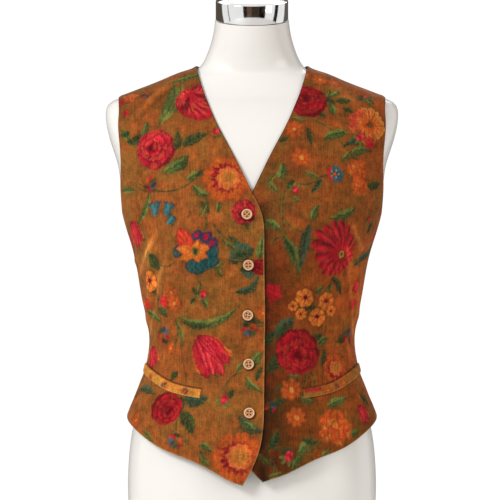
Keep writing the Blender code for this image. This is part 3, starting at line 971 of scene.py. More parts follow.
def gerbera(a: Array, b: Array, reach: float, phase: float) -> list[Layer]:
    """Paint a crimson daisy, its many ragged petals round an eye that is off its middle.

    Args:
        a: Places to the right of the middle.
        b: Places above it.
        reach: The flower's radius.
        phase: A number that varies the drawing.

    Returns:
        Strengths and colours, from the lowest layer up.
    """
    angle, away = tilted(a, b, reach, (0.34, -0.22))
    outer = np.abs(np.cos(9.5 * angle + phase + 0.5 * np.sin(3 * angle))) ** 0.6
    edge = 0.76 + 0.22 * outer + 0.04 * np.sin(5 * angle + phase)
    streak = 0.5 + 0.5 * np.cos(19 * angle + 2 * phase + np.sin(3 * angle) + 1.5 * np.sin(5 * away))
    second = 0.5 + 0.5 * np.cos(13 * angle + phase - 2 * away)
    colour = mix(Ink.CRIMSON, Ink.RED, streak)
    colour = mix(colour, Ink.WINE, 0.75 * (1 - streak) * smooth_step((away - 0.2) / 0.3))
    colour = mix(colour, Ink.PINK, 0.35 * hump(away, 0.62, 0.2) * second)
    colour = mix(colour, Ink.WINE, 0.5 * hump(second, 0.1, 0.2) * hump(away, 0.5, 0.22))
    eye = np.hypot(a - 0.34 * reach, b + 0.22 * reach)
    return [
        (inside((edge - away) * reach), colour),
        (inside(reach * 0.17 - eye), Ink.BROWN),
        (inside(reach * 0.12 - eye), mix(Ink.YELLOW, Ink.OLIVE, 0.3)),
        (inside(reach * 0.05 - eye), Ink.BROWN),
    ]


def zinnia(a: Array, b: Array, reach: float, phase: float) -> list[Layer]:
    """Paint an orange flower with broad petals, a jagged crimson ring and a stippled disk.

    Args:
        a: Places to the right of the middle.
        b: Places above it.
        reach: The flower's radius.
        phase: A number that varies the drawing.

    Returns:
        Strengths and colours, from the lowest layer up.
    """
    angle, away = tilted(a, b, reach, (0.10, 0.02))
    lobes = np.abs(np.cos(3.5 * angle + phase + 0.5 * np.sin(angle)))
    edge = 0.80 + 0.17 * lobes**0.6 + 0.03 * np.sin(17 * angle)
    streak = 0.5 + 0.5 * np.sin(27 * angle + phase + 2 * np.sin(4 * away))
    base = mix(Ink.ORANGE, Ink.GROUND, 0.45)
    petals = mix(base, Ink.RUST, 0.7 * streak * hump(away, 0.72, 0.2))
    petals = mix(petals, Ink.CRIMSON, 0.55 * hump(lobes, 0.0, 0.3) * smooth_step((away - 0.5) / 0.3))
    petals = mix(petals, Ink.GROUND, 0.45 * hump(lobes, 0.75, 0.2) * hump(away, 0.86, 0.1))
    petals = mix(petals, Ink.RUST, 0.8 * hump(edge - away, 0.02, 0.04))
    side = 0.55 + 0.45 * np.cos(angle - 2.6)
    ring_edge = 0.49 + 0.12 * side + 0.11 * np.abs(np.sin(9 * angle + phase)) ** 2
    ring = inside((ring_edge - away) * reach)
    ring_colour = mix(Ink.WINE, Ink.CRIMSON, 0.5 + 0.5 * np.sin(23 * angle + 2))
    disk = inside((0.47 + 0.03 * np.sin(9 * angle) - away) * reach)
    dots = np.sin(a * 2.1 + phase + np.sin(b * 1.4)) * np.sin(b * 2.3 + 1.3 * np.sin(a)) * 0.5 + 0.5
    disk_colour = mix(mix(Ink.YELLOW, Ink.ORANGE, dots), Ink.RUST, 0.85 * hump(dots, 0.05, 0.2))
    disk_colour = mix(disk_colour, Ink.OLIVE, 0.4 * hump(away, 0.1, 0.14))
    disk_colour = mix(disk_colour, Ink.PINK, 0.4 * hump(away, 0.42, 0.06))
    return [
        (inside((edge - away) * reach), petals),
        ((0.45 + 0.5 * side) * ring, ring_colour),
        (disk, disk_colour),
    ]


def blaze(a: Array, b: Array, reach: float, phase: float) -> list[Layer]:
    """Paint an orange flower with many yellow-rimmed petals and crimson rays round a small eye.

    Args:
        a: Places to the right of the middle.
        b: Places above it.
        reach: The flower's radius.
        phase: A number that varies the drawing.

    Returns:
        Strengths and colours, from the lowest layer up.
    """
    angle, away = tilted(a, b, reach, (0.14, 0.03))
    wave = 8 * angle + phase + 0.7 * np.sin(2 * angle) + 0.6 * np.sin(5 * away)
    tips = np.abs(np.cos(wave)) ** 0.6
    edge = 0.80 + 0.15 * tips + 0.05 * np.sin(4 * angle + phase)
    colour = mix(Ink.RUST, Ink.ORANGE, smooth_step(away / 0.6))
    colour = mix(colour, Ink.YELLOW, 0.85 * hump(tips, 0.75, 0.22) * smooth_step((away - 0.2) / 0.3))
    colour = mix(colour, Ink.CRIMSON, 0.95 * hump(tips, 0.0, 0.55) * smooth_step((away - 0.18) / 0.2))
    colour = mix(colour, Ink.YELLOW, 0.7 * hump(edge - away, 0.04, 0.05))
    left = smooth_step((-np.cos(angle + 0.3) - 0.1) / 0.7) * smooth_step((away - 0.35) / 0.35)
    colour = mix(colour, Ink.CRIMSON, 0.8 * left * (0.4 + 0.6 * tips))
    eye = mix(Ink.BROWN, Ink.OLIVE, 0.4)
    return [(inside((edge - away) * reach), colour), (inside((0.16 - away) * reach), eye)]


def marigold(a: Array, b: Array, reach: float, phase: float) -> list[Layer]:
    """Paint a small soft orange flower with a yellow middle.

    Args:
        a: Places to the right of the middle.
        b: Places above it.
        reach: The flower's radius.
        phase: A number that varies the drawing.

    Returns:
        Strengths and colours, from the lowest layer up.
    """
    angle, away = tilted(a, b, reach, (0.05, -0.05))
    lobes = np.abs(np.cos(4 * angle + phase + 0.4 * np.sin(2 * angle)))
    edge = 0.66 + 0.26 * lobes
    colour = mix(Ink.RUST, Ink.ORANGE, 0.15 + 0.75 * lobes)
    colour = mix(colour, Ink.GROUND, 0.2 + 0.3 * hump(away, 0.75, 0.15))
    colour = mix(colour, Ink.CRIMSON, 0.65 * hump(away, 0.34, 0.12) * (1 - lobes * 0.8))
    return [
        (0.4 * np.exp(-((away / 0.95) ** 2)), Ink.RUST),
        (0.85 * inside((edge - away) * reach, 3.0), colour),
        (0.9 * inside((0.2 - away) * reach, 1.6), Ink.YELLOW),
    ]


def pansy(a: Array, b: Array, reach: float, phase: float) -> list[Layer]:
    """Paint an orange flower with round lobes, a crimson star and a dark rim.

    Args:
        a: Places to the right of the middle.
        b: Places above it.
        reach: The flower's radius.
        phase: A number that varies the drawing.

    Returns:
        Strengths and colours, from the lowest layer up.
    """
    angle, away = tilted(a, b, reach, (0.0, 0.05))
    lobes = np.abs(np.cos(3.5 * angle + phase))
    edge = 0.84 + 0.12 * lobes**0.6
    colour = mix(Ink.ORANGE, Ink.YELLOW, 0.45 * lobes)
    colour = mix(colour, Ink.CRIMSON, 0.85 * hump(away, 0.34, 0.16) * (lobes < 0.6))
    colour = mix(colour, Ink.RUST, 0.7 * hump(lobes, 0.0, 0.2) * smooth_step((away - 0.4) / 0.3))
    return [
        (0.7 * inside((edge + 0.1 - away) * reach), mix(Ink.BROWN, Ink.DARK_GREEN, 0.4)),
        (inside((edge - away) * reach), colour),
        (inside((0.24 - away) * reach), Ink.WINE),
    ]


def star(a: Array, b: Array, reach: float, phase: float) -> list[Layer]:
    """Paint a small teal flower with a crimson side and a yellow star.

    Args:
        a: Places to the right of the middle.
        b: Places above it.
        reach: The flower's radius.
        phase: A number that varies the drawing.

    Returns:
        Strengths and colours, from the lowest layer up.
    """
    angle, away = tilted(a, b, reach, (0.0, 0.0))
    lobes = np.abs(np.cos(4 * angle + phase))
    edge = 0.78 + 0.16 * lobes
    red = smooth_step((-np.cos(angle) - 0.3) / 0.4) * smooth_step((away - 0.45) / 0.2)
    colour = mix(mix(Ink.TEAL, Ink.BLUE, 0.6 * (1 - lobes)), Ink.RED, red)
    rays = hump(np.cos(5 * angle), 1, 0.35) * (away < 0.5)
    colour = mix(colour, Ink.YELLOW, 0.7 * rays)
    return [
        (inside((edge - away) * reach), colour),
        (inside((0.24 - away) * reach), Ink.WINE),
        (inside((0.15 - away) * reach), Ink.ORANGE),
    ]


def bell(a: Array, b: Array, reach: float, phase: float) -> list[Layer]:
    """Paint a hanging teal bell with a notched, dark-lined mouth.

    Args:
        a: Places to the right of the middle.
        b: Places above it.
        reach: The flower's radius.
        phase: A number that varies the drawing.

    Returns:
        Strengths and colours, from the lowest layer up.
    """
    tall = (b / reach + 1) / 2
    half = reach * (0.42 + 0.62 * np.clip(tall, 0, 1) ** 1.4 + 0.08 * np.sin(3 * tall + phase))
    notch = reach * (0.72 + 0.22 * np.abs(np.sin(a / reach * 4.5)))
    depth = np.minimum(np.minimum(half - np.abs(a), b + reach * 0.85), notch - b)
    colour = mix(srgb(32, 96, 96), Ink.BLUE, 0.5 * smooth_step(np.abs(a) / half))
    colour = mix(colour, srgb(66, 146, 146), 0.6 * hump(a / reach, -0.15, 0.2))
    colour = mix(colour, mix(Ink.PLUM, Ink.DARK_GREEN, 0.5), hump(b - notch, -0.8, 1.3))
    return [(inside(depth), colour)]


def bud(a: Array, b: Array, reach: float, phase: float) -> list[Layer]:
    """Paint a red bud on green sepals, its tip to the right.

    Args:
        a: Places to the right of the middle.
        b: Places above it.
        reach: The flower's radius.
        phase: A number that varies the drawing.

    Returns:
        Strengths and colours, from the lowest layer up.
    """
    layers = []
    for lean in (150.0, 205.0, 110.0, 250.0):
        depth, along, _ = petal(a, b, reach * 1.15, reach * 0.55, lean)
        layers.append((inside(depth), mix(Ink.DARK_GREEN, Ink.PALE_GREEN, np.clip(along, 0, 1))))
    depth = oval(a, b, reach * 0.15, 0, reach * 0.78, reach * 0.55, 0)
    curl = 0.5 + 0.5 * np.sin(a / reach * 7 + 4 * np.abs(b) / reach + phase)
    colour = mix(mix(Ink.CRIMSON, Ink.PINK, curl), Ink.WINE, hump(depth, 0.3, 0.7) * 0.5)
    layers.append((inside(depth), colour))
    return layers


def tulip(a: Array, b: Array, reach: float, phase: float) -> list[Layer]:
    """Paint a big flower from the side, with long streaked petals that open to the right.

    Args:
        a: Places to the right of the middle.
        b: Places above it.
        reach: The flower's radius.
        phase: A number that varies the drawing.

    Returns:
        Strengths and colours, from the lowest layer up.
    """
    base_a = a + reach * 0.95
    layers = []
    backs = [(28.0, 1.75, 0.62), (-30.0, 1.6, 0.6)]
    for lean, long, wide in backs:
        depth, along, across = petal(base_a, b, reach * long, reach * wide, lean)
        streak = 0.5 + 0.5 * np.sin(across * 9 + phase)
        layers.append((inside(depth), mix(Ink.RUST, Ink.YELLOW, 0.6 * streak * smooth_step(along))))
    fronts = [
        (-19.0, 1.85, 0.85, 0.2),
        (19.0, 1.8, 0.8, 0.4),
        (2.0, 1.95, 0.9, 0.8),
        (-9.0, 1.85, 0.6, 1.0),
        (9.0, 1.6, 0.34, 0.7),
    ]
    for lean, long, wide, light in fronts:
        depth, along, across = petal(base_a, b, reach * long, reach * wide, lean)
        depth = depth + 0.6 * np.sin(along * 40 + 3 * across)
        streak = 0.5 + 0.5 * np.sin(across * 9 + 1.6 * np.sin(along * 5 + phase) + phase + lean)
        colour = mix(Ink.CRIMSON, Ink.PINK, np.clip(light * streak * 1.1, 0, 1))
        colour = mix(colour, Ink.WINE, 0.85 * hump(depth, 0.4, 0.9))
        colour = mix(colour, Ink.WINE, 0.5 * (1 - smooth_step(along / 0.35)))
        layers.append((inside(depth), colour))
    return layers


def peony(a: Array, b: Array, reach: float, phase: float) -> list[Layer]:
    """Paint an open cup of ragged crimson petals, dark and streaked between them.

    Args:
        a: Places to the right of the middle.
        b: Places above it.
        reach: The flower's radius.
        phase: A number that varies the drawing.

    Returns:
        Strengths and colours, from the lowest layer up.
    """
    angle, away = tilted(a, b, reach, (-0.25, 0.62))
    edge = 0.93 + 0.04 * np.sin(4 * angle + phase) + 0.05 * np.abs(np.sin(11 * angle))
    lobes = np.sin(4.5 * angle + 2.2 * away + phase)
    streak = 0.5 + 0.5 * np.sin(26 * angle + 3 * np.sin(5 * away))
    colour = mix(Ink.CRIMSON, Ink.PINK, 0.85 * streak * smooth_step((away - 0.15) / 0.4))
    colour = mix(colour, Ink.WINE, 0.85 * hump(lobes, -1, 0.35) * (away < 0.95))
    colour = mix(colour, Ink.GROUND, 0.6 * hump(lobes, 0.2, 0.4) * hump(away, 0.52, 0.16))
    colour = mix(colour, Ink.WINE, 0.55 * (1 - streak) * hump(away, 0.66, 0.12))
    colour = mix(colour, Ink.CRIMSON, 0.9 * hump(edge - away, 0.08, 0.08))
    colour = mix(colour, Ink.WINE, 0.8 * hump(edge - away, 0.0, 0.03))
    return [(inside((edge - away) * reach), colour)]


def anemone(a: Array, b: Array, reach: float, phase: float) -> list[Layer]:
    """Paint an orange flower between teal petals below and plum-blue ones with red spots above.

    Args:
        a: Places to the right of the middle.
        b: Places above it.
        reach: The flower's radius.
        phase: A number that varies the drawing.

    Returns:
        Strengths and colours, from the lowest layer up.
    """
    layers = []
    for x, y, long, short, lean in [
        (-0.05, -0.62, 0.42, 0.3, -12),
        (0.35, -0.5, 0.42, 0.3, 25),
        (0.62, -0.32, 0.34, 0.3, 60),
        (0.72, 0.02, 0.3, 0.26, 90),
        (-0.8, -0.02, 0.26, 0.2, 70),
    ]:
        depth = oval(a, b, x * reach, y * reach, long * reach, short * reach, lean)
        rib = 0.5 + 0.3 * np.sin(a * 0.9 + 1.7 * np.sin(0.6 * b) + phase)
        colour = mix(srgb(32, 88, 82), srgb(14, 52, 58), rib)
        layers.append((inside(depth), mix(colour, srgb(14, 40, 38), 0.85 * hump(depth, 0.3, 1.2))))
    for x, y in [(0.1, 0.66), (0.45, 0.58), (0.66, 0.34)]:
        depth = oval(a, b, x * reach, y * reach, 0.24 * reach, 0.21 * reach, 20)
        ruffle = depth + 0.5 * np.sin(np.arctan2(b - y * reach, a - x * reach) * 9)
        layers.append((inside(ruffle), mix(Ink.BLUE, Ink.PLUM, 0.45)))
        layers.append((inside(depth - 0.12 * reach), Ink.CRIMSON))
    fan = oval(a, b, -0.46 * reach, 0.5 * reach, 0.46 * reach, 0.33 * reach, 128)
    fan = fan + 0.5 * np.sin(12 * np.arctan2(b, a))
    ribs = 0.5 + 0.5 * np.sin(26 * np.arctan2(b, a) + phase)
    colour = mix(mix(Ink.ORANGE, Ink.RED, 0.35 + 0.65 * ribs), Ink.WINE, 0.8 * hump(fan, 0.2, 0.8))
    layers.append((inside(fan), colour))
    rays = [(176, 0.8, 0.4), (215, 0.75, 0.42), (12, 0.68, 0.4), (330, 0.6, 0.36)]
    for lean, long, wide in rays + [(290, 0.5, 0.34), (60, 0.45, 0.3)]:
        depth, along, across = petal(a + 0.05 * reach, b - 0.05 * reach, reach * long, reach * wide, lean)
        streak = 0.5 + 0.5 * np.sin(across * 8 + phase)
        colour = mix(Ink.ORANGE, Ink.YELLOW, 0.4 * streak)
        layers.append((inside(depth), mix(colour, Ink.RUST, 0.75 * hump(depth, 0.3, 0.8))))
    ring = oval(a, b, 0.02 * reach, 0.02 * reach, 0.17 * reach, 0.17 * reach, 0)
    layers.append((inside(ring), Ink.OLIVE))
    layers.append((inside(ring - 0.07 * reach), Ink.DARK_GREEN))
    return layers


def sprig(a: Array, b: Array, reach: float, phase: float) -> list[Layer]:
    """Paint a loose sprig of little teal, green and crimson curls.

    Args:
        a: Places to the right of the middle.
        b: Places above it.
        reach: The flower's radius.
        phase: A number that varies the drawing.

    Returns:
        Strengths and colours, from the lowest layer up.
    """
    layers = []
    inks = [Ink.TEAL, Ink.CRIMSON, Ink.DARK_GREEN, Ink.BLUE, Ink.RUST, Ink.CRIMSON, Ink.GREEN]
    for i, ink in enumerate(inks):
        angle = phase + i * 2.4
        x, y = 0.55 * reach * math.cos(angle), 0.55 * reach * math.sin(angle)
        depth = oval(a, b, x, y, 0.42 * reach, 0.2 * reach, math.degrees(angle) * 1.7)
        layers.append((0.9 * inside(depth), ink))
    return layers


def cluster(a: Array, b: Array, reach: float, phase: float) -> list[Layer]:
    """Paint a head of small orange florets, each edged with crimson scribbles.

    Args:
        a: Places to the right of the middle.
        b: Places above it.
        reach: The flower's radius.
        phase: A number that varies the drawing.

    Returns:
        Strengths and colours, from the lowest layer up.
    """
    angle, away = np.arctan2(b, a), np.hypot(a, b) / reach
    orange = mix(Ink.ORANGE, Ink.GROUND, 0.35)
    layers = [(0.7 * inside((0.85 + 0.12 * np.sin(angle * 5 + phase) - away) * reach, 4.0), orange)]
    small = max(2.6, reach * 0.2)
    count = max(5, int((reach / small) ** 2 * 0.7))
    for i in range(count):
        turn, out = phase + i * 2.4, reach * 0.86 * math.sqrt((i + 0.5) / count)
        x, y = a - out * math.cos(turn), b - out * math.sin(turn)
        spin, near = np.arctan2(y, x), np.hypot(x, y) / small
        rim = 0.85 + 0.2 * np.sin(5 * spin + i)
        tone = mix(Ink.ORANGE, (Ink.YELLOW, Ink.RUST, Ink.ORANGE)[i % 3], 0.45)
        layers.append((0.8 * inside((rim - near) * small, 2.0), tone))
        scribble = 0.8 * hump(near + 0.2 * np.sin(3 * spin + i), 0.8, 0.18) * (np.sin(spin * 2 + i) > -0.5)
        layers.append((scribble, mix(Ink.CRIMSON, Ink.RUST, 0.25)))
    return layers


def smudge(a: Array, b: Array, reach: float, phase: float) -> list[Layer]:
    """Paint a soft red blot, where a flower runs out at an edge.

    Args:
        a: Places to the right of the middle.
        b: Places above it.
        reach: The flower's radius.
        phase: A number that varies the drawing.

    Returns:
        Strengths and colours, from the lowest layer up.
    """
    away = np.hypot(a, b) / reach
    colour = mix(Ink.CRIMSON, Ink.RED, 0.5 + 0.5 * np.sin(a * 0.9 + b * 0.6 + phase))
    return [(0.85 * inside((0.85 + 0.1 * np.sin(5 * np.arctan2(b, a)) - away) * reach, 3.0), colour)]


class Flower(Enum):
    """The kinds of flower in the print."""

    ROSE = "rose"
    DEEP_ROSE = "deep rose"
    GERBERA = "gerbera"
    ZINNIA = "zinnia"
    BLAZE = "blaze"
    MARIGOLD = "marigold"
    PANSY = "pansy"
    STAR = "star"
    BELL = "bell"
    BUD = "bud"
    TULIP = "tulip"
    PEONY = "peony"
    ANEMONE = "anemone"
    SPRIG = "sprig"
    CLUSTER = "cluster"
    SMUDGE = "smudge"


(
    ROSE, DEEP_ROSE, GERBERA, ZINNIA, BLAZE, MARIGOLD, PANSY, STAR,
    BELL, BUD, TULIP, PEONY, ANEMONE, SPRIG, CLUSTER, SMUDGE,
) = Flower

PAINTERS: dict[Flower, Callable[[Array, Array, float, float], list[Layer]]] = {
    ROSE: rose,
    DEEP_ROSE: deep_rose,
    GERBERA: gerbera,
    ZINNIA: zinnia,
    BLAZE: blaze,
    MARIGOLD: marigold,
    PANSY: pansy,
    STAR: star,
    BELL: bell,
    BUD: bud,
    TULIP: tulip,
    PEONY: peony,
    ANEMONE: anemone,
    SPRIG: sprig,
    CLUSTER: cluster,
    SMUDGE: smudge,
}


class Green(Enum):
    """The kinds of leaf green."""

    DARK = "dark"
    FRESH = "fresh"
    PALE = "pale"
    COOL = "cool"


DARK, FRESH, PALE, COOL = Green

# A leaf's edge and heart
GREENS: dict[Green, tuple[Array, Array]] = {
    DARK: (Ink.GREEN * 0.8, Ink.DARK_GREEN),
    FRESH: (Ink.PALE_GREEN, Ink.GREEN),
    PALE: (mix(Ink.PALE_GREEN, Ink.GROUND, 0.3), Ink.OLIVE),
    COOL: (mix(Ink.GREEN, Ink.TEAL, 0.35), Ink.DARK_GREEN),
}


# The print, drawn on a chart of 1.32 mm squares: across from the middle at 252, down from 560
CHART = 1.32
CHART_MIDDLE = 252.0
CHART_FOOT = 560.0
Bloom = namedtuple("Bloom", "kind x y reach lean")
Leaf = namedtuple("Leaf", "x y tip_x tip_y wide bend green")
Stem = namedtuple("Stem", "x y end_x end_y bend")

RIGHT_STEMS = [Stem(*row) for row in [
    (156, 191, 195, 179, -5), (156, 190, 136, 186, 3), (201, 205, 205, 230, 3),
    (214, 225, 244, 246, -4), (168, 214, 172, 226, 6), (199, 281, 200, 294, 1),
    (160, 265, 174, 262, -3), (163, 285, 158, 300, 2), (177, 320, 172, 352, 3), (200, 192, 206, 212, 4),
    (225, 386, 246, 372, 4), (226, 398, 232, 390, 1), (245, 335, 262, 326, 3), (176, 430, 186, 404, 3),
    (168, 84, 208, 76, 3), (140, 233, 146, 262, 4),
]]
RIGHT_LEAVES = [Leaf(*row) for row in [
    (173, 84, 208, 75, 6, 4, FRESH), (171, 84, 161, 122, 15, 6, FRESH), (179, 84, 174, 108, 8, 3, PALE),
    (130, 140, 120, 130, 7, 0, FRESH), (142, 136, 127, 142, 9, 2, DARK),
    (144, 138, 147, 122, 7, 0, FRESH), (176, 150, 176, 131, 9, -2, DARK),
    (184, 146, 206, 134, 11, 2, DARK), (176, 170, 188, 156, 12, 0, DARK),
    (164, 172, 184, 158, 11, -2, FRESH), (214, 138, 221, 134, 4, 0, PALE),
    (187, 180, 206, 173, 8, 2, FRESH), (192, 185, 209, 196, 8, -2, FRESH),
    (148, 192, 136, 224, 7, 5, FRESH), (134, 190, 120, 191, 6, 0, FRESH),
    (200, 202, 209, 214, 6, 2, DARK), (217, 212, 221, 199, 5, 0, FRESH),
    (140, 226, 146, 240, 5, 0, PALE), (158, 270, 152, 253, 13, 1, DARK),
    (214, 264, 222, 276, 6, 0, FRESH), (229, 235, 243, 245, 5, -1, DARK),
    (243, 217, 248, 230, 5, 1, DARK), (231, 262, 255, 250, 20, 5, COOL),
    (256, 266, 240, 270, 16, 3, COOL), (235, 256, 247, 252, 7, 0, DARK),
    (259, 258, 263, 236, 9, -1, FRESH), (236, 291, 259, 276, 8, -6, COOL),
    (200, 296, 192, 288, 7, 0, DARK), (203, 297, 207, 308, 6, 0, FRESH),
    (198, 293, 201, 282, 4, 0, PALE), (158, 309, 167, 318, 9, 2, DARK),
    (149, 284, 153, 296, 5, 2, DARK), (177, 319, 238, 307, 9, -11, FRESH),
    (180, 322, 214, 323, 5, -4, DARK), (177, 320, 182, 347, 6, 2, PALE),
    (250, 322, 263, 323, 7, 2, DARK), (243, 325, 250, 320, 5, 0, COOL),
    (172, 380, 178, 371, 7, 1, DARK), (138, 388, 154, 394, 8, 2, COOL),
    (184, 399, 208, 397, 12, -3, COOL), (182, 410, 180, 396, 8, 0, DARK),
    (180, 411, 193, 433, 14, 2, DARK), (230, 398, 234, 390, 6, 1, DARK),
    (245, 376, 261, 391, 8, -3, FRESH), (252, 368, 263, 352, 10, 2, FRESH),
    (239, 416, 262, 431, 12, -4, COOL), (242, 422, 256, 432, 6, 2, FRESH),
    (143, 431, 153, 440, 7, 0, PALE), (188, 444, 176, 436, 6, 0, PALE),
    (199, 445, 212, 452, 7, 2, FRESH), (200, 458, 210, 466, 6, 0, FRESH),
    (133, 404, 138, 388, 5, 0, DARK), (205, 460, 200, 450, 5, 0, PALE),
    (121, 136, 130, 132, 6, 0, DARK), (206, 204, 200, 216, 5, 0, PALE),
    (196, 176, 204, 170, 5, 0, DARK), (222, 240, 236, 250, 4, 0, FRESH),
    (215, 268, 226, 262, 5, 0, PALE), (196, 298, 190, 304, 5, 0, DARK),
    (236, 372, 246, 362, 6, 1, FRESH), (256, 380, 262, 366, 6, 0, DARK),
    (172, 434, 180, 446, 5, 0, PALE), (150, 310, 160, 322, 7, 0, FRESH),
]]
RIGHT_BLOOMS = [Bloom(*row) for row in [
    (PEONY, 198, 102, 23, 20), (SPRIG, 146, 95, 6, 40), (CLUSTER, 130, 97, 9, 0),
    (SMUDGE, 119, 103, 6, 60), (SMUDGE, 126, 113, 4, 10), (ROSE, 156, 150, 21, 25),
    (BUD, 218, 131, 6, 200), (ZINNIA, 227, 179, 25, 10), (SPRIG, 150, 184, 9, 80),
    (BELL, 155, 209, 8, 8), (BELL, 168, 209, 8, -12), (BELL, 171, 220, 6, -40),
    (ROSE, 244, 212, 13, 120), (TULIP, 136, 234, 15, -75), (ANEMONE, 195, 252, 25, 0),
    (DEEP_ROSE, 260, 267, 9, 90), (BUD, 203, 295, 6, 80), (PANSY, 150, 281, 11, 30),
    (SMUDGE, 164, 301, 7, 40), (MARIGOLD, 171, 292, 8, 15), (MARIGOLD, 174, 303, 9, 0),
    (SMUDGE, 146, 303, 8, 80), (MARIGOLD, 263, 313, 7, 0), (SPRIG, 163, 336, 11, 150),
    (SPRIG, 250, 329, 9, 60), (MARIGOLD, 171, 348, 6, 0), (TULIP, 210, 355, 24, -58),
    (TULIP, 153, 358, 13, -65), (DEEP_ROSE, 166, 408, 18, 200), (BUD, 224, 400, 7, 70),
    (SPRIG, 176, 440, 10, 200), (MARIGOLD, 136, 420, 8, 0), (ZINNIA, 239, 458, 27, 50),
]]
LEFT_STEMS = [Stem(*row) for row in [
    (312, 120, 344, 147, 5), (344, 147, 358, 143, 2), (285, 190, 286, 236, -3),
    (286, 222, 310, 233, -3), (272, 243, 284, 237, 2), (300, 184, 318, 178, -3),
    (317, 178, 328, 175, 0), (370, 98, 368, 111, 1), (305, 372, 303, 388, 1), (310, 372, 314, 386, 2),
    (297, 456, 322, 440, -3), (266, 450, 286, 450, 2), (268, 455, 276, 478, 2),
    (352, 262, 372, 244, -3), (348, 155, 358, 160, 0), (277, 176, 290, 187, 2), (334, 280, 333, 270, 0),
]]
LEFT_LEAVES = [Leaf(*row) for row in [
    (326, 102, 331, 91, 7, 0, FRESH), (334, 104, 324, 96, 6, 0, DARK), (336, 101, 351, 101, 9, 0, DARK),
    (331, 103, 333, 115, 8, 0, FRESH), (292, 118, 306, 121, 6, 0, FRESH),
    (308, 128, 311, 145, 6, 0, DARK), (324, 139, 350, 134, 9, 3, FRESH),
    (344, 146, 361, 144, 5, 2, DARK), (349, 144, 357, 138, 7, 0, COOL), (359, 100, 364, 95, 6, 0, DARK),
    (372, 103, 366, 97, 6, 0, FRESH), (280, 142, 288, 137, 6, 0, DARK),
    (278, 179, 283, 163, 9, -2, FRESH), (268, 179, 279, 193, 7, -2, PALE),
    (288, 189, 294, 180, 7, 0, DARK), (305, 172, 319, 180, 6, 1, PALE),
    (322, 180, 311, 193, 6, 0, COOL), (351, 155, 371, 151, 8, 3, FRESH),
    (342, 161, 352, 151, 7, 0, PALE), (368, 187, 381, 184, 8, 0, DARK),
    (311, 221, 319, 206, 8, 1, FRESH), (330, 219, 356, 208, 10, -2, FRESH),
    (264, 221, 281, 230, 8, 1, FRESH), (284, 238, 299, 275, 10, 3, FRESH),
    (285, 240, 295, 262, 5, 2, DARK), (310, 225, 301, 268, 10, -2, COOL),
    (355, 266, 371, 252, 7, 2, COOL), (366, 260, 374, 240, 6, 0, COOL),
    (368, 233, 371, 222, 5, 0, DARK), (332, 278, 342, 294, 8, 2, DARK),
    (316, 292, 323, 287, 6, 0, FRESH), (302, 308, 316, 307, 6, 0, DARK),
    (276, 338, 293, 318, 16, 0, COOL), (282, 338, 285, 322, 9, 0, DARK),
    (264, 345, 274, 332, 10, 0, DARK), (318, 344, 327, 337, 8, 0, FRESH),
    (338, 342, 350, 333, 9, 0, DARK), (269, 372, 277, 352, 10, -2, DARK),
    (321, 366, 325, 349, 6, 0, DARK), (288, 376, 300, 377, 6, 0, FRESH),
    (300, 397, 312, 402, 7, 0, FRESH), (272, 404, 287, 398, 8, 0, DARK),
    (327, 407, 349, 398, 9, 2, FRESH), (362, 392, 367, 407, 6, 0, DARK),
    (347, 436, 360, 431, 7, 0, FRESH), (268, 448, 278, 430, 8, -2, DARK),
    (256, 452, 270, 466, 6, 0, PALE), (281, 453, 292, 448, 6, 0, DARK),
    (298, 455, 316, 441, 9, 3, FRESH), (302, 438, 318, 441, 6, -2, DARK),
    (293, 470, 303, 455, 6, 2, FRESH), (322, 457, 330, 448, 6, 0, PALE),
    (268, 478, 282, 472, 6, 0, PALE), (318, 110, 326, 118, 6, 0, DARK), (330, 96, 340, 92, 6, 0, FRESH),
    (343, 108, 352, 112, 6, 0, DARK), (276, 174, 268, 182, 5, 0, PALE),
    (291, 196, 300, 202, 5, 0, PALE), (330, 284, 326, 296, 5, 0, FRESH),
    (258, 232, 268, 224, 6, 0, PALE), (312, 340, 322, 334, 7, 0, DARK),
    (276, 392, 284, 384, 6, 0, DARK), (356, 346, 362, 352, 5, 0, DARK),
]]
LEFT_BLOOMS = [Bloom(*row) for row in [
    (MARIGOLD, 320, 79, 8, 0), (MARIGOLD, 334, 82, 7, 40), (MARIGOLD, 307, 75, 5, 0),
    (DEEP_ROSE, 308, 101, 21, 70), (BUD, 366, 96, 5, 120), (BLAZE, 367, 125, 21, 0),
    (BUD, 360, 138, 7, 20), (SMUDGE, 370, 143, 7, 10), (MARIGOLD, 294, 129, 10, 0),
    (MARIGOLD, 301, 157, 11, 25), (BUD, 295, 189, 6, 300), (STAR, 335, 174, 9.5, 0),
    (CLUSTER, 358, 171, 13, 30), (CLUSTER, 360, 187, 11, 80), (GERBERA, 335, 248, 29, 0),
    (BUD, 369, 220, 5, 120), (PANSY, 305, 298, 10, 0), (PANSY, 326, 301, 9.5, 30),
    (PANSY, 331, 311, 6, 60), (PANSY, 317, 317, 10, 10), (PANSY, 301, 314, 6.5, 50),
    (PANSY, 293, 306, 5, 20), (SMUDGE, 273, 292, 10, 30), (TULIP, 358, 285, 9, -95),
    (SMUDGE, 354, 304, 6, 60), (DEEP_ROSE, 298, 351, 24, 200), (SPRIG, 348, 337, 10, 0),
    (ZINNIA, 336, 369, 16, 80), (MARIGOLD, 291, 389, 12, 0), (MARIGOLD, 296, 417, 11, 35),
    (SPRIG, 270, 407, 7, 300), (TULIP, 364, 414, 11, -70), (CLUSTER, 335, 428, 20, 0),
    (BUD, 288, 457, 8, 70),
]]

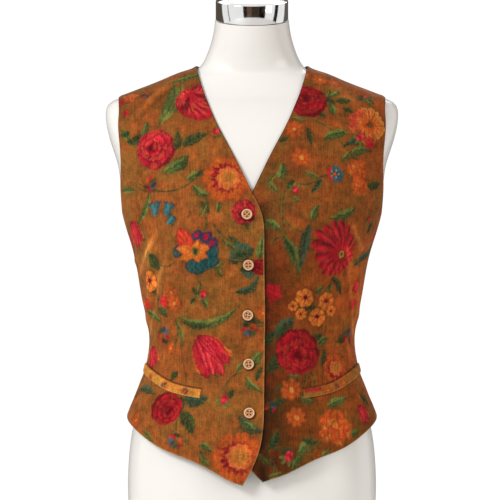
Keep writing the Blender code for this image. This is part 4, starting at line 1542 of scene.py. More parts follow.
# More of the print where the cloth turns away from the front, by turn and height
Beyond = namedtuple("Beyond", "kind turn height reach lean")
SIDE_BLOOMS = [Beyond(*row) for row in [
    (ROSE, 82, 420, 15, 0), (BUD, 86, 372, 7, 90), (MARIGOLD, 80, 340, 10, 0), (SPRIG, 87, 302, 10, 40),
    (PANSY, 83, 268, 10, 0), (BUD, 88, 238, 8, 200), (MARIGOLD, 84, 212, 11, 0), (STAR, 86, 450, 8, 0),
]]

WELT_BLOOMS = [Bloom(*row) for row in [
    (MARIGOLD, 150, 380, 5, 0), (SPRIG, 164, 386, 5, 30), (SPRIG, 185, 391, 4, 190),
    (SMUDGE, 305, 390, 2.2, 0), (SMUDGE, 308, 390, 2.4, 20), (SMUDGE, 311, 389.6, 2.4, 50),
    (SMUDGE, 314, 389.4, 2.4, 10), (SMUDGE, 317, 389, 2.4, 70), (SMUDGE, 320, 388.4, 2.2, 30),
    (MARIGOLD, 328, 390, 4, 0), (MARIGOLD, 344, 383, 4, 90), (SPRIG, 337, 386, 3.5, 40),
]]


def chart_place(x: float, y: float) -> Array:
    """Turn a place on the chart into millimetres across and up."""
    return np.array([(x - CHART_MIDDLE) * CHART, (CHART_FOOT - y) * CHART])


@dataclass
class Paintwork:
    """Colours laid on a cloth's points, layer over layer."""

    points: Array
    normals: Array
    ground: Array
    mottled: bool = True
    wearing: float = 0.30
    colour: Array = field(init=False)

    def __post_init__(self) -> None:
        """Start with the plain ground."""
        self.colour = np.zeros((len(self.points), 3)) + self.ground
        self.facing = np.flatnonzero(self.normals[:, 1] < -0.05)
        sway = []
        for seed in (3, 5):
            wide, small = Cloud(5.5, seed), Cloud(2.4, seed + 1)
            sway.append(1.5 * wide.at(self.points) + 0.9 * small.at(self.points))
        self.sway = np.column_stack(sway)
        self.wear = 0.5 + 0.5 * Cloud(2.1, 9).at(self.points * [1, 1, 0.45])
        if not self.mottled:
            return
        broad = 0.6 * Cloud(34.0, 21).at(self.points) + 0.5 * Cloud(13.0, 22).at(self.points)
        olive = Ink.OLIVE * self.ground / Ink.GROUND
        self.colour = mix(self.colour, olive, np.clip(0.09 + 0.42 * broad, 0, 0.45))
        self.colour = mix(self.colour, Ink.RUST, np.clip(-0.22 * broad - 0.02, 0, 0.18))
        self.colour *= (1 + 0.16 * Cloud(7.0, 23).at(self.points))[:, None]

    def frame_at(self, place: Array) -> tuple[Array, Array, Array]:
        """Find a place seen from the front on the cloth.

        Args:
            place: Millimetres across and up.

        Returns:
            The point on the cloth, and the cloth's own right and up there.
        """
        seen = self.points[self.facing][:, [0, 2]]
        nearest = self.facing[np.argmin(((seen - place) ** 2).sum(axis=1))]
        right, up = self.ways(self.normals[nearest])
        point = self.points[nearest]
        point = point + right * (place[0] - point[0]) + up * (place[1] - point[2])
        return point, right, up

    @staticmethod
    def ways(normal: Array) -> tuple[Array, Array]:
        """Give the cloth's right and up for one normal.

        Args:
            normal: The normal.

        Returns:
            The right and the up, both of length one.
        """
        right = np.cross([0.0, 0.0, 1.0], normal)
        right /= np.linalg.norm(right)
        return right, np.cross(normal, right)

    def lay(self, index: Array, strength: Array, colour: Array) -> None:
        """Lay a colour over some points, as strongly as given for each.

        Args:
            index: The points' numbers.
            strength: A strength for each.
            colour: One colour, or one for each.
        """
        thin = 1 - self.wearing * self.wear[index] ** 2
        share = (np.clip(strength, 0, 1) * thin)[:, None]
        self.colour[index] += (colour - self.colour[index]) * share

    def lay_over(self, strength: Array, colour: Array) -> None:
        """Lay a colour over the whole piece, as strongly as given for each point."""
        self.lay(np.arange(len(self.points)), strength, colour)

    def local(self, point: Array, right: Array, up: Array, reach: float) -> tuple[Array, Array, Array]:
        """Pick the points within reach of a place, with their places right and up of it.

        Args:
            point: The place.
            right: The cloth's right there.
            up: The cloth's up there.
            reach: How far.

        Returns:
            The points' numbers, and how far right and up each is, swayed a little.
        """
        away = self.points - point
        index = np.flatnonzero((away**2).sum(axis=1) < reach**2)
        sway = self.sway[index] * np.clip(reach / 34, 0.35, 1)
        return index, away[index] @ right + sway[:, 0], away[index] @ up + sway[:, 1]

    def bloom(self, kind: Flower, spot: tuple[Array, Array, Array], reach: float, lean: float) -> None:
        """Paint one flower.

        Args:
            kind: What flower.
            spot: Its point, right and up on the cloth.
            reach: Its radius in millimetres.
            lean: How far it is turned, in degrees.
        """
        index, a, b = self.local(*spot, reach * 1.5 + 4)
        if not len(index):
            return
        shade = 0.46 * np.exp(-((np.hypot(a, b) / (reach * 1.12)) ** 4))
        self.lay(index, shade, mix(Ink.BROWN, Ink.DARK_GREEN, 0.3))
        turn = math.radians(lean)
        cos, sin = math.cos(turn), math.sin(turn)
        u, v = a * cos + b * sin, b * cos - a * sin
        phase = 1.7 * lean / 30 + reach
        for strength, colour in PAINTERS[kind](u, v, reach, phase):
            self.lay(index, strength, colour)

    def leaf(self, row: Leaf) -> None:
        """Paint one leaf with its midrib and side veins.

        Args:
            row: Its row of the chart.
        """
        start, tip = chart_place(row.x, row.y), chart_place(row.tip_x, row.tip_y)
        point, right, up = self.frame_at((start + tip) / 2)
        way = tip - start
        flat = np.array([way[0] / max(abs(right[0]), 0.35), way[1] / max(abs(up[2]), 0.5)])
        long = np.linalg.norm(flat)
        index, a, b = self.local(point, right, up, long * 0.75 + 8)
        if not len(index):
            return
        cos, sin = flat / long
        along = (a * cos + b * sin) / long + 0.5
        across = b * cos - a * sin - row.bend * CHART * 4 * np.clip(along * (1 - along), 0, 1)
        half = row.wide * CHART / 2 * np.sin(np.pi * np.clip(along, 0, 1) ** 0.85) ** 0.75
        teeth = 0.45 * np.sin(along * long * 1.5)
        depth = np.where((along > -0.02) & (along < 1.02), half + teeth - np.abs(across), -5)
        edge_ink, heart_ink = GREENS[row.green]
        side = smooth_step(0.5 + across / (half + 0.8))
        colour = mix(heart_ink, edge_ink, 0.1 + 0.8 * side)
        veins = hump(np.sin((along * long - np.abs(across) * 1.1) * 1.1), 1, 0.4)
        colour = mix(colour, mix(edge_ink, Ink.PALE_GREEN, 0.5), 0.6 * veins)
        colour = mix(colour, Ink.DARK_GREEN, 0.9 * hump(across, 0, 0.8))
        colour = mix(colour, Ink.DARK_GREEN, 0.55 * hump(depth, 0.2, 0.8) * (across < 0))
        near = smooth_step((0.68 - np.abs(along - 0.5)) / 0.2)
        self.lay(index, 0.5 * near * np.exp(-((across / (half + 3.0)) ** 2)), mix(Ink.OLIVE, Ink.BROWN, 0.5))
        self.lay(index, 0.93 * inside(depth), colour)

    def stem(self, row: Stem) -> None:
        """Paint one thin stem.

        Args:
            row: Its row of the chart.
        """
        start, end = chart_place(row.x, row.y), chart_place(row.end_x, row.end_y)
        places = []
        for share in np.linspace(0, 1, 9):
            across = np.array([-(end - start)[1], (end - start)[0]])
            across /= np.linalg.norm(across)
            flat = start + (end - start) * share + across * row.bend * CHART * 4 * share * (1 - share)
            places.append(self.frame_at(flat)[0])
        line = np.array(places)
        middle, reach = line.mean(axis=0), np.linalg.norm(line[-1] - line[0]) * 0.8 + 6
        index = np.flatnonzero(((self.points - middle) ** 2).sum(axis=1) < reach**2)
        away = distance_to_line(self.points[index], line)
        wobble = 0.5 + 0.5 * np.sin(self.points[index, 2] * 0.7)
        self.lay(index, 0.35 * inside(2.4 - away, 3.0), Ink.OLIVE)
        self.lay(index, 0.95 * inside(0.85 - away, 1.3), mix(Ink.OLIVE, Ink.DARK_GREEN, 0.25 + 0.75 * wobble))

    def print_on(self, stems: list[Stem], leaves: list[Leaf], blooms: list[Bloom]) -> None:
        """Paint a whole chart: stems first, then leaves, then flowers.

        Args:
            stems: The stems.
            leaves: The leaves.
            blooms: The flowers.
        """
        for stem in stems:
            self.stem(stem)
        for leaf in leaves:
            self.leaf(leaf)
        self.scatter(blooms)

    def scatter(self, blooms: Iterable[Bloom]) -> None:
        """Paint the flowers of a chart.

        Args:
            blooms: The flowers.
        """
        for row in blooms:
            spot = self.frame_at(chart_place(row.x, row.y))
            self.bloom(row.kind, spot, row.reach * CHART, row.lean)

    def go_round(self, side: int) -> None:
        """Carry the print on where the cloth turns away from the front.

        Args:
            side: -1 for the wearer's right, 1 for the left.
        """
        shift = LEFT_SIDE_SHIFT if side > 0 else Turn(0, 0)
        for row in SIDE_BLOOMS:
            target = on_form([row.turn + shift.turn], [row.height + shift.height], side)[0]
            nearest = np.argmin(((self.points - target) ** 2).sum(axis=1))
            right, up = self.ways(self.normals[nearest])
            self.bloom(row.kind, (self.points[nearest], right, up), row.reach, row.lean)

    def line(self, route: Array, width: float, strength: float, colour: Array) -> None:
        """Paint a soft line along a route of points.

        Args:
            route: The route.
            width: Half its width, about.
            strength: How strongly, from 0 to 1.
            colour: The colour.
        """
        away = distance_to_line(self.points, route)
        index = np.flatnonzero(away < width * 4)
        self.lay(index, strength * np.exp(-((away[index] / width) ** 2)), colour)


@dataclass
class Shell:
    """A cloth piece as a closed thin shell, its outer face fine and its lining face coarser."""

    name: str
    outer: Array
    inner: Array
    step: int
    grain: Array
    colour: Array
    lining: Array

    def border(self, rows: int, columns: int, step: int) -> list[int]:
        """Number the points round a grid's border, step by step.

        Args:
            rows: How many rows of faces.
            columns: How many columns.
            step: How many points on each time.

        Returns:
            The points' numbers, once round.
        """
        wide = columns + 1
        bottom = list(range(0, columns, step))
        right = [row * wide + columns for row in range(0, rows, step)]
        top = [rows * wide + column for column in range(columns, 0, -step)]
        left = [row * wide for row in range(rows, 0, -step)]
        return bottom + right + top + left

    @staticmethod
    def cells(rows: int, columns: int, start: int, turned: bool) -> list[tuple[int, ...]]:
        """List a grid's faces.

        Args:
            rows: How many rows of faces.
            columns: How many columns.
            start: The number of the first point.
            turned: Whether each face is listed the other way round.

        Returns:
            The corners' numbers of each face.
        """
        wide = columns + 1
        faces = []
        for row in range(rows):
            for column in range(columns):
                a = start + row * wide + column
                face = (a, a + 1, a + wide + 1, a + wide)
                faces.append(face[::-1] if turned else face)
        return faces

    def build(self, facing_out: bool) -> bpy.types.Object:
        """Make the shell's object.

        Args:
            facing_out: Whether the outer grid's faces point away from the form as they are listed.

        Returns:
            The object, with its grain and its print.
        """
        rows, columns = self.outer.shape[0] - 1, self.outer.shape[1] - 1
        low_rows, low_columns = self.inner.shape[0] - 1, self.inner.shape[1] - 1
        outer, inner = self.outer.reshape(-1, 3), self.inner.reshape(-1, 3)
        start = len(outer)
        faces = self.cells(rows, columns, 0, not facing_out)
        faces += self.cells(low_rows, low_columns, start, facing_out)
        over, under = self.border(rows, columns, 1), self.border(low_rows, low_columns, 1)
        for i, point in enumerate(under):
            after = start + under[(i + 1) % len(under)]
            strip = [over[(i * self.step + j) % len(over)] for j in range(self.step + 1)]
            face = (start + point, after, *strip[::-1])
            faces.append(face if facing_out else face[::-1])
        mesh = bpy.data.meshes.new(self.name)
        mesh.from_pydata((np.concatenate([outer, inner]) * MM).tolist(), [], faces)
        mesh.shade_smooth()
        self.attach(mesh)
        made = bpy.data.objects.new(self.name, mesh)
        bpy.context.scene.collection.objects.link(made)
        return made

    def attach(self, mesh: bpy.types.Mesh) -> None:
        """Give a mesh the print as a colour attribute and the grain as its UV map.

        Args:
            mesh: The mesh.
        """
        under = np.tile(self.lining, (len(self.inner.reshape(-1, 3)), 1))
        colour = np.concatenate([self.colour, under])
        rgba = np.column_stack([np.clip(colour, 0, 1), np.ones(len(colour))])
        layer = mesh.color_attributes.new(name="print", type="FLOAT_COLOR", domain="POINT")
        layer.data.foreach_set("color", rgba.astype(np.float32).ravel())
        low = self.grain.reshape(*self.outer.shape[:2], 2)[:: self.step, :: self.step].reshape(-1, 2)
        flat = np.concatenate([self.grain, low])
        corners = np.empty(len(mesh.loops), np.int32)
        mesh.loops.foreach_get("vertex_index", corners)
        mesh.uv_layers.new(name="grain")
        mesh.uv_layers["grain"].data.foreach_set("uv", flat[corners].astype(np.float32).ravel())


def edge_distances(grid: Array) -> dict[str, Array]:
    """Measure each point's distance along the grid from its four edges.

    Args:
        grid: The points, indexed by row then column.

    Returns:
        A distance for each point from the bottom, top, first and last edge.
    """
    return {
        "bottom": np.linalg.norm(grid - grid[0][None], axis=2).ravel(),
        "top": np.linalg.norm(grid - grid[-1][None], axis=2).ravel(),
        "first": np.linalg.norm(grid - grid[:, 0][:, None], axis=2).ravel(),
        "last": np.linalg.norm(grid - grid[:, -1][:, None], axis=2).ravel(),
    }


GIRTH = Girth()


@dataclass
class Panel:
    """A cloth piece laid on the form: its grid there, its stand-off, its two faces and its edges."""

    grid: Array
    stand: Array
    depth: float = CLOTH
    roll: float = EDGE_ROLL
    reach: float = EDGE_REACH

    def __post_init__(self) -> None:
        """Lay out the inner face and the outer one, which rolls down at its edges."""
        self.flat = self.grid.reshape(-1, 3)
        self.normals = outward(self.flat)
        self.inner = self.flat + self.normals * self.stand[:, None]
        self.away = edge_distances(self.grid)
        nearest = np.minimum.reduce(list(self.away.values()))
        drop = self.roll * (1 - smooth_step(nearest / self.reach))
        self.outer = self.inner + self.normals * (self.depth - drop)[:, None]

    def shell(self, name: str, colour: Array, lining: Array, facing_out: bool) -> bpy.types.Object:
        """Make the piece's shell, its grain running with the cloth.

        Args:
            name: The object's name.
            colour: A colour for each point of the outer face.
            lining: The inner face's colour.
            facing_out: Whether the grid's faces point away from the form as they are listed.

        Returns:
            The object.
        """
        grain = np.column_stack([GIRTH.at(self.flat) * MM, self.flat[:, 2] * MM])
        low = self.inner.reshape(self.grid.shape)[::LINING_STEP, ::LINING_STEP]
        outer = self.outer.reshape(self.grid.shape)
        return Shell(name, outer, low, LINING_STEP, grain, colour, lining).build(facing_out)


@dataclass(frozen=True)
class Cut:
    """A piece's flat cut, in metres and square metres, and how it is held."""

    width: float
    length: float
    area: float
    held: str = "draped"

    def declare(self, made: bpy.types.Object, rests_on: str) -> None:
        """Take a piece's cut and what it lies on, and do nothing with them."""


def declare(made: bpy.types.Object, finish: bpy.types.Material, node: Optional[str]) -> None:
    """Dress a piece, hang it on the root that it moves with, hide the solid it replaces and log it.

    Args:
        made: The piece.
        finish: Its material.
        node: The solid it replaces, if it replaces one.
    """
    made.data.materials.append(finish)
    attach(made, "root")
    if node:
        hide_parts(node)
    log.info("%s: %d faces", made.name, len(made.data.polygons))


def outer_face(made: bpy.types.Object) -> BVHTree:
    """Make a search tree over an object's own mesh."""
    return BVHTree.FromObject(made, bpy.context.evaluated_depsgraph_get())


def height_on(tree: BVHTree, points: Array, normals: Array) -> Array:
    """Tell how far each point must move along its normal to reach the cloth's outer face.

    Args:
        tree: The cloth's outer face.
        points: Places, one a row.
        normals: The normals there.

    Returns:
        Millimetres from each point.
    """
    heights = []
    for point, normal in zip(points, normals):
        start = Vector((point + normal * RAY_START) * MM)
        hit = tree.ray_cast(start, -Vector(normal))
        heights.append(RAY_START - hit[3] / MM)
    return np.array(heights)


class Term:
    """A node's output that takes part in sums, each sum adding its Math node."""

    def __init__(self, shader: "Shader", socket: bpy.types.NodeSocket) -> None:
        """Hold the output and the shader it belongs to."""
        self.shader = shader
        self.socket = socket

    def math(self, operation: str, *values: Union["Term", Number]) -> "Term":
        """Add one Math node on these values."""
        return self.shader.node("ShaderNodeMath", {"operation": operation}, dict(enumerate(values)))

    def __add__(self, other: Union["Term", Number]) -> "Term":
        """Add."""
        return self.math("ADD", self, other)

    __radd__ = __add__

    def __sub__(self, other: Union["Term", Number]) -> "Term":
        """Take away."""
        return self.math("SUBTRACT", self, other)

    def __rsub__(self, other: Number) -> "Term":
        """Take this from a number."""
        return self.math("SUBTRACT", other, self)

    def __mul__(self, other: Union["Term", Number]) -> "Term":
        """Multiply."""
        return self.math("MULTIPLY", self, other)

    __rmul__ = __mul__


class Shader:
    """A material's node tree, built from expressions."""

    def __init__(self, name: str) -> None:
        """Start a Principled material.

        Args:
            name: The material's name.
        """
        self.material = bpy.data.materials.new(name)
        self.material.use_nodes = True
        self.tree = self.material.node_tree
        self.principled = self.tree.nodes["Principled BSDF"]

    def node(
        self,
        kind: str,
        settings: Optional[dict[str, object]] = None,
        sockets: Optional[dict[Union[int, str], object]] = None,
        output: Union[int, str] = 0,
    ) -> Term:
        """Add one node.

        Args:
            kind: The node's type.
            settings: Its settings, set first; "stops" holds a ramp's places and colours.
            sockets: A value or a link for each socket.
            output: Which output to use.

        Returns:
            That output.
        """
        made = self.tree.nodes.new(kind)
        for name, value in (settings or {}).items():
            if name != "stops":
                setattr(made, name, value)
                continue
            ramp = made.color_ramp
            while len(ramp.elements) < len(value):
                ramp.elements.new(0.5)
            for element, (place, colour) in zip(ramp.elements, value):
                element.position = place
                element.color = (*colour, 1)
        for key, value in (sockets or {}).items():
            if isinstance(value, Term):
                self.tree.links.new(value.socket, made.inputs[key])
            else:
                made.inputs[key].default_value = value
        return Term(self, made.outputs[output])

    def object_place(self) -> Term:
        """Give the place on the object, in metres."""
        return self.node("ShaderNodeTexCoord", output="Object")

    def grain_place(self, across: float, along: float) -> Term:
        """Give the place in the cloth's own grain, stretched by so many a metre each way."""
        grain = self.node("ShaderNodeUVMap", {"uv_map": "grain"})
        return self.tinted(grain, (across, along, 1.0))

    def noise(self, place: Term, scale: float, detail: float = 2.0) -> Term:
        """Give a noise round zero, from about -0.5 to 0.5."""
        sockets = {"Vector": place, "Scale": scale, "Detail": detail, "Roughness": 0.55}
        return self.node("ShaderNodeTexNoise", sockets=sockets) - 0.5

    def blend(self, share: Union[Term, Number], first: object, second: object) -> Term:
        """Mix two colours."""
        sockets = {0: share, 6: first, 7: second}
        return self.node("ShaderNodeMix", {"data_type": "RGBA"}, sockets, output=2)

    def scaled(self, colour: Term, factor: Term) -> Term:
        """Make a colour lighter or darker by a factor."""
        return self.node("ShaderNodeVectorMath", {"operation": "SCALE"}, {0: colour, "Scale": factor})

    def tinted(self, colour: Term, tint: tuple[float, float, float]) -> Term:
        """Multiply a colour, or a place, by a factor for each channel."""
        return self.node("ShaderNodeVectorMath", {"operation": "MULTIPLY"}, {0: colour, 1: tint})

    def feed(self, socket: str, term: Term) -> None:
        """Link an output to the shader's own socket."""
        self.tree.links.new(term.socket, self.principled.inputs[socket])

    def bump(self, height: Term, distance: float, strength: float) -> None:
        """Raise the surface by a height, in metres."""
        sockets = {"Height": height, "Distance": distance, "Strength": strength}
        self.feed("Normal", self.node("ShaderNodeBump", sockets=sockets))

    def fixed(self, values: dict[str, object]) -> None:
        """Set the shader's own sockets that are the same all over."""
        for name, value in values.items():
            self.principled.inputs[name].default_value = value


@dataclass(frozen=True)
class Velveteen:
    """Printed ribbed velveteen: fine uneven wales, a brushed nap and a warm sheen."""

    name: str
    wale: float = 1.1
    patches: float = 0.8
    rubbing: float = 0.9
    sheen: float = 0.07

    def dress(self) -> bpy.types.Material:
        """Make the material.

        Returns:
            The material.
        """
        shader = Shader(self.name)
        ink = shader.node("ShaderNodeAttribute", {"attribute_name": "print"}, output="Color")
        wale = shader.noise(shader.grain_place(620, 40), 1.0, 3.0)
        fine = shader.noise(shader.grain_place(1500, 420), 1.0, 2.0)
        place = shader.object_place()
        patch = shader.noise(place, 46.0, 4.0)
        rubbed = shader.noise(place, 150.0, 3.0)
        speck = shader.noise(place, 520.0, 2.0)
        worn = shader.tinted(ink, (1.10, 0.99, 0.92))
        dull = shader.tinted(ink, (0.87, 0.96, 0.99))
        colour = shader.blend(0.5 + patch * 1.6 + rubbed * 1.3 + speck * 0.7, dull, worn)
        coarse = wale * self.wale + patch * self.patches + rubbed * self.rubbing
        light = 0.97 + coarse + fine * 0.6 + speck * 0.9
        shader.feed("Base Color", shader.scaled(colour, light))
        shader.feed("Roughness", 0.82 + fine * 0.2)
        shader.bump(wale * 0.8 + fine * 0.5 + speck * 0.5, 0.0009, 0.6)
        shader.fixed(
            {
                "Specular IOR Level": 0.12,
                "Sheen Weight": self.sheen,
                "Sheen Roughness": 0.38,
                "Sheen Tint": (1.0, 0.66, 0.36, 1),
            }
        )
        return shader.material


@dataclass(frozen=True)
class BackCloth:
    """Plain dark satin-backed cloth with a fine twill."""

    name: str = "back_cloth_look"

    def dress(self) -> bpy.types.Material:
        """Make the material.

        Returns:
            The material.
        """
        shader = Shader(self.name)
        ink = shader.node("ShaderNodeAttribute", {"attribute_name": "print"}, output="Color")
        grain = shader.grain_place(1300, 1300)
        twill = shader.node(
            "ShaderNodeTexWave",
            {"wave_type": "BANDS", "bands_direction": "DIAGONAL"},
            {"Vector": grain, "Scale": 0.22, "Distortion": 0.6, "Detail": 1.0},
            output="Fac",
        )
        slub = shader.noise(shader.grain_place(900, 60), 1.0, 2.0)
        cloud = shader.noise(shader.object_place(), 22.0, 3.0)
        light = 0.92 + twill * 0.22 + slub * 0.5 + cloud * 0.45
        shader.feed("Base Color", shader.scaled(ink, light))
        shader.feed("Roughness", 0.50 + slub * 0.25 + cloud * 0.12)
        shader.bump(twill * 0.5 + slub * 0.5, 0.0003, 0.35)
        shader.fixed({"Specular IOR Level": 0.4, "Sheen Weight": 0.12, "Sheen Roughness": 0.5})
        shader.fixed({"Sheen Tint": (0.8, 0.7, 0.8, 1)})
        return shader.material


@dataclass(frozen=True)
class TurnedWood:
    """Turned wood with fine grain; its tones and its painted light and shade are painted on the button."""

    name: str = "button_wood_look"

    def dress(self) -> bpy.types.Material:
        """Make the material.

        Returns:
            The material.
        """
        shader = Shader(self.name)
        place = shader.object_place()
        fibre = shader.noise(shader.tinted(place, (900.0, 900.0, 120.0)), 1.0, 3.0)
        cloud = shader.noise(place, 160.0, 2.0)
        shade = shader.node("ShaderNodeAttribute", {"attribute_name": "print"}, output="Color")
        light = 1.0 + fibre * 0.5 + cloud * 0.3
        shader.feed("Base Color", shader.scaled(shade, light))
        shader.feed("Roughness", 0.34 + fibre * 0.2)
        shader.bump(fibre, 0.0001, 0.3)
        shader.fixed({"Specular IOR Level": 0.5, "Coat Weight": 0.25, "Coat Roughness": 0.2})
        return shader.material


@dataclass(frozen=True)
class Thread:
    """Twisted tan sewing thread."""

    name: str = "thread_look"

    def dress(self) -> bpy.types.Material:
        """Make the material.

        Returns:
            The material.
        """
        shader = Shader(self.name)
        twist = shader.noise(shader.object_place(), 2600.0, 1.0)
        colour = shader.blend(0.5 + twist, (0.36, 0.20, 0.10, 1), (0.62, 0.40, 0.22, 1))
        shader.feed("Base Color", colour)
        shader.bump(twist, 0.0002, 0.5)
        shader.fixed({"Roughness": 0.75, "Sheen Weight": 0.2})
        return shader.material


@dataclass(frozen=True)
class GlossWhite:
    """The form's warm white gloss, with a very slight ripple and dust in its gloss."""

    name: str = "form_white_look"

    def dress(self) -> bpy.types.Material:
        """Make the material.

        Returns:
            The material.
        """
        shader = Shader(self.name)
        place = shader.object_place()
        ripple = shader.noise(place, 9.0, 1.0)
        dust = shader.noise(place, 140.0, 3.0)
        colour = shader.blend(0.5 + ripple, (0.80, 0.775, 0.74, 1), (0.84, 0.82, 0.79, 1))
        shader.feed("Base Color", colour)
        shader.feed("Roughness", 0.30 + dust * 0.08)
        shader.bump(ripple, 0.0012, 0.12)
        shader.fixed({"Specular IOR Level": 0.45, "Coat Weight": 0.35, "Coat Roughness": 0.12})
        return shader.material


@dataclass(frozen=True)
class Chrome:
    """Polished chrome with faint smears."""

    name: str = "cap_chrome_look"

    def dress(self) -> bpy.types.Material:
        """Make the material.

        Returns:
            The material.
        """
        shader = Shader(self.name)
        place = shader.object_place()
        smear = shader.noise(place, 45.0, 3.0)
        shader.feed("Base Color", shader.blend(0.5 + smear, (0.74, 0.73, 0.72, 1), (0.82, 0.82, 0.82, 1)))
        shader.feed("Roughness", 0.09 + smear * 0.07)
        shader.fixed({"Metallic": 1.0})
        return shader.material


@dataclass(frozen=True)
class PaleFloor:
    """A plain pale floor."""

    name: str = "floor_look"

    def dress(self) -> bpy.types.Material:
        """Make the material.

        Returns:
            The material.
        """
        shader = Shader(self.name)
        grain = shader.noise(shader.object_place(), 30.0, 2.0)
        shader.feed("Base Color", shader.blend(0.5 + grain, (0.80, 0.80, 0.79, 1), (0.84, 0.84, 0.83, 1)))
        shader.fixed({"Roughness": 0.7})
        return shader.material


def in_edit(action: Callable[[], None]) -> None:
    """Run an action in edit mode on the active object.

    Args:
        action: What to run.
    """
    bpy.ops.object.mode_set(mode="EDIT")
    action()
    bpy.ops.object.mode_set(mode="OBJECT")


def settle_object(made: bpy.types.Object, name: str, matrix: Matrix) -> bpy.types.Object:
    """Move an object's place into its mesh and name it.

    Args:
        made: The object.
        name: Its name.
        matrix: Where it goes.

    Returns:
        The same object, at the origin.
    """
    made.data.transform(matrix @ made.matrix_world)
    made.matrix_world = Matrix.Identity(4)
    made.name = name
    made.data.name = name
    return made


def lathe(profile: Sequence[tuple[float, float]], sides: int) -> bpy.types.Object:
    """Turn a shape: a disk is extruded and resized from row to row of a profile.

    Args:
        profile: Radius and height of each ring in millimetres, from the underside's middle to the top's.
        sides: How many sides it has.

    Returns:
        The active object, closed and facing out.
    """
    bpy.ops.object.select_all(action="DESELECT")
    first = profile[0]
    bpy.ops.mesh.primitive_circle_add(
        vertices=sides, radius=first[0] * MM, fill_type="NGON", location=(0, 0, first[1] * MM)
    )

    def raise_rings() -> None:
        """Extrude and resize ring after ring."""
        for before, after in zip(profile, profile[1:]):
            move = (0, 0, (after[1] - before[1]) * MM)
            bpy.ops.mesh.extrude_region_move(TRANSFORM_OT_translate={"value": move})
            size = after[0] / before[0]
            bpy.ops.transform.resize(value=(size, size, 1))
        bpy.ops.mesh.select_all(action="SELECT")
        bpy.ops.mesh.normals_make_consistent(inside=False)

    in_edit(raise_rings)
    made = bpy.context.object
    made.location = (0, 0, 0)
    made.data.transform(Matrix.Translation((0, 0, first[1] * MM)))
    return made


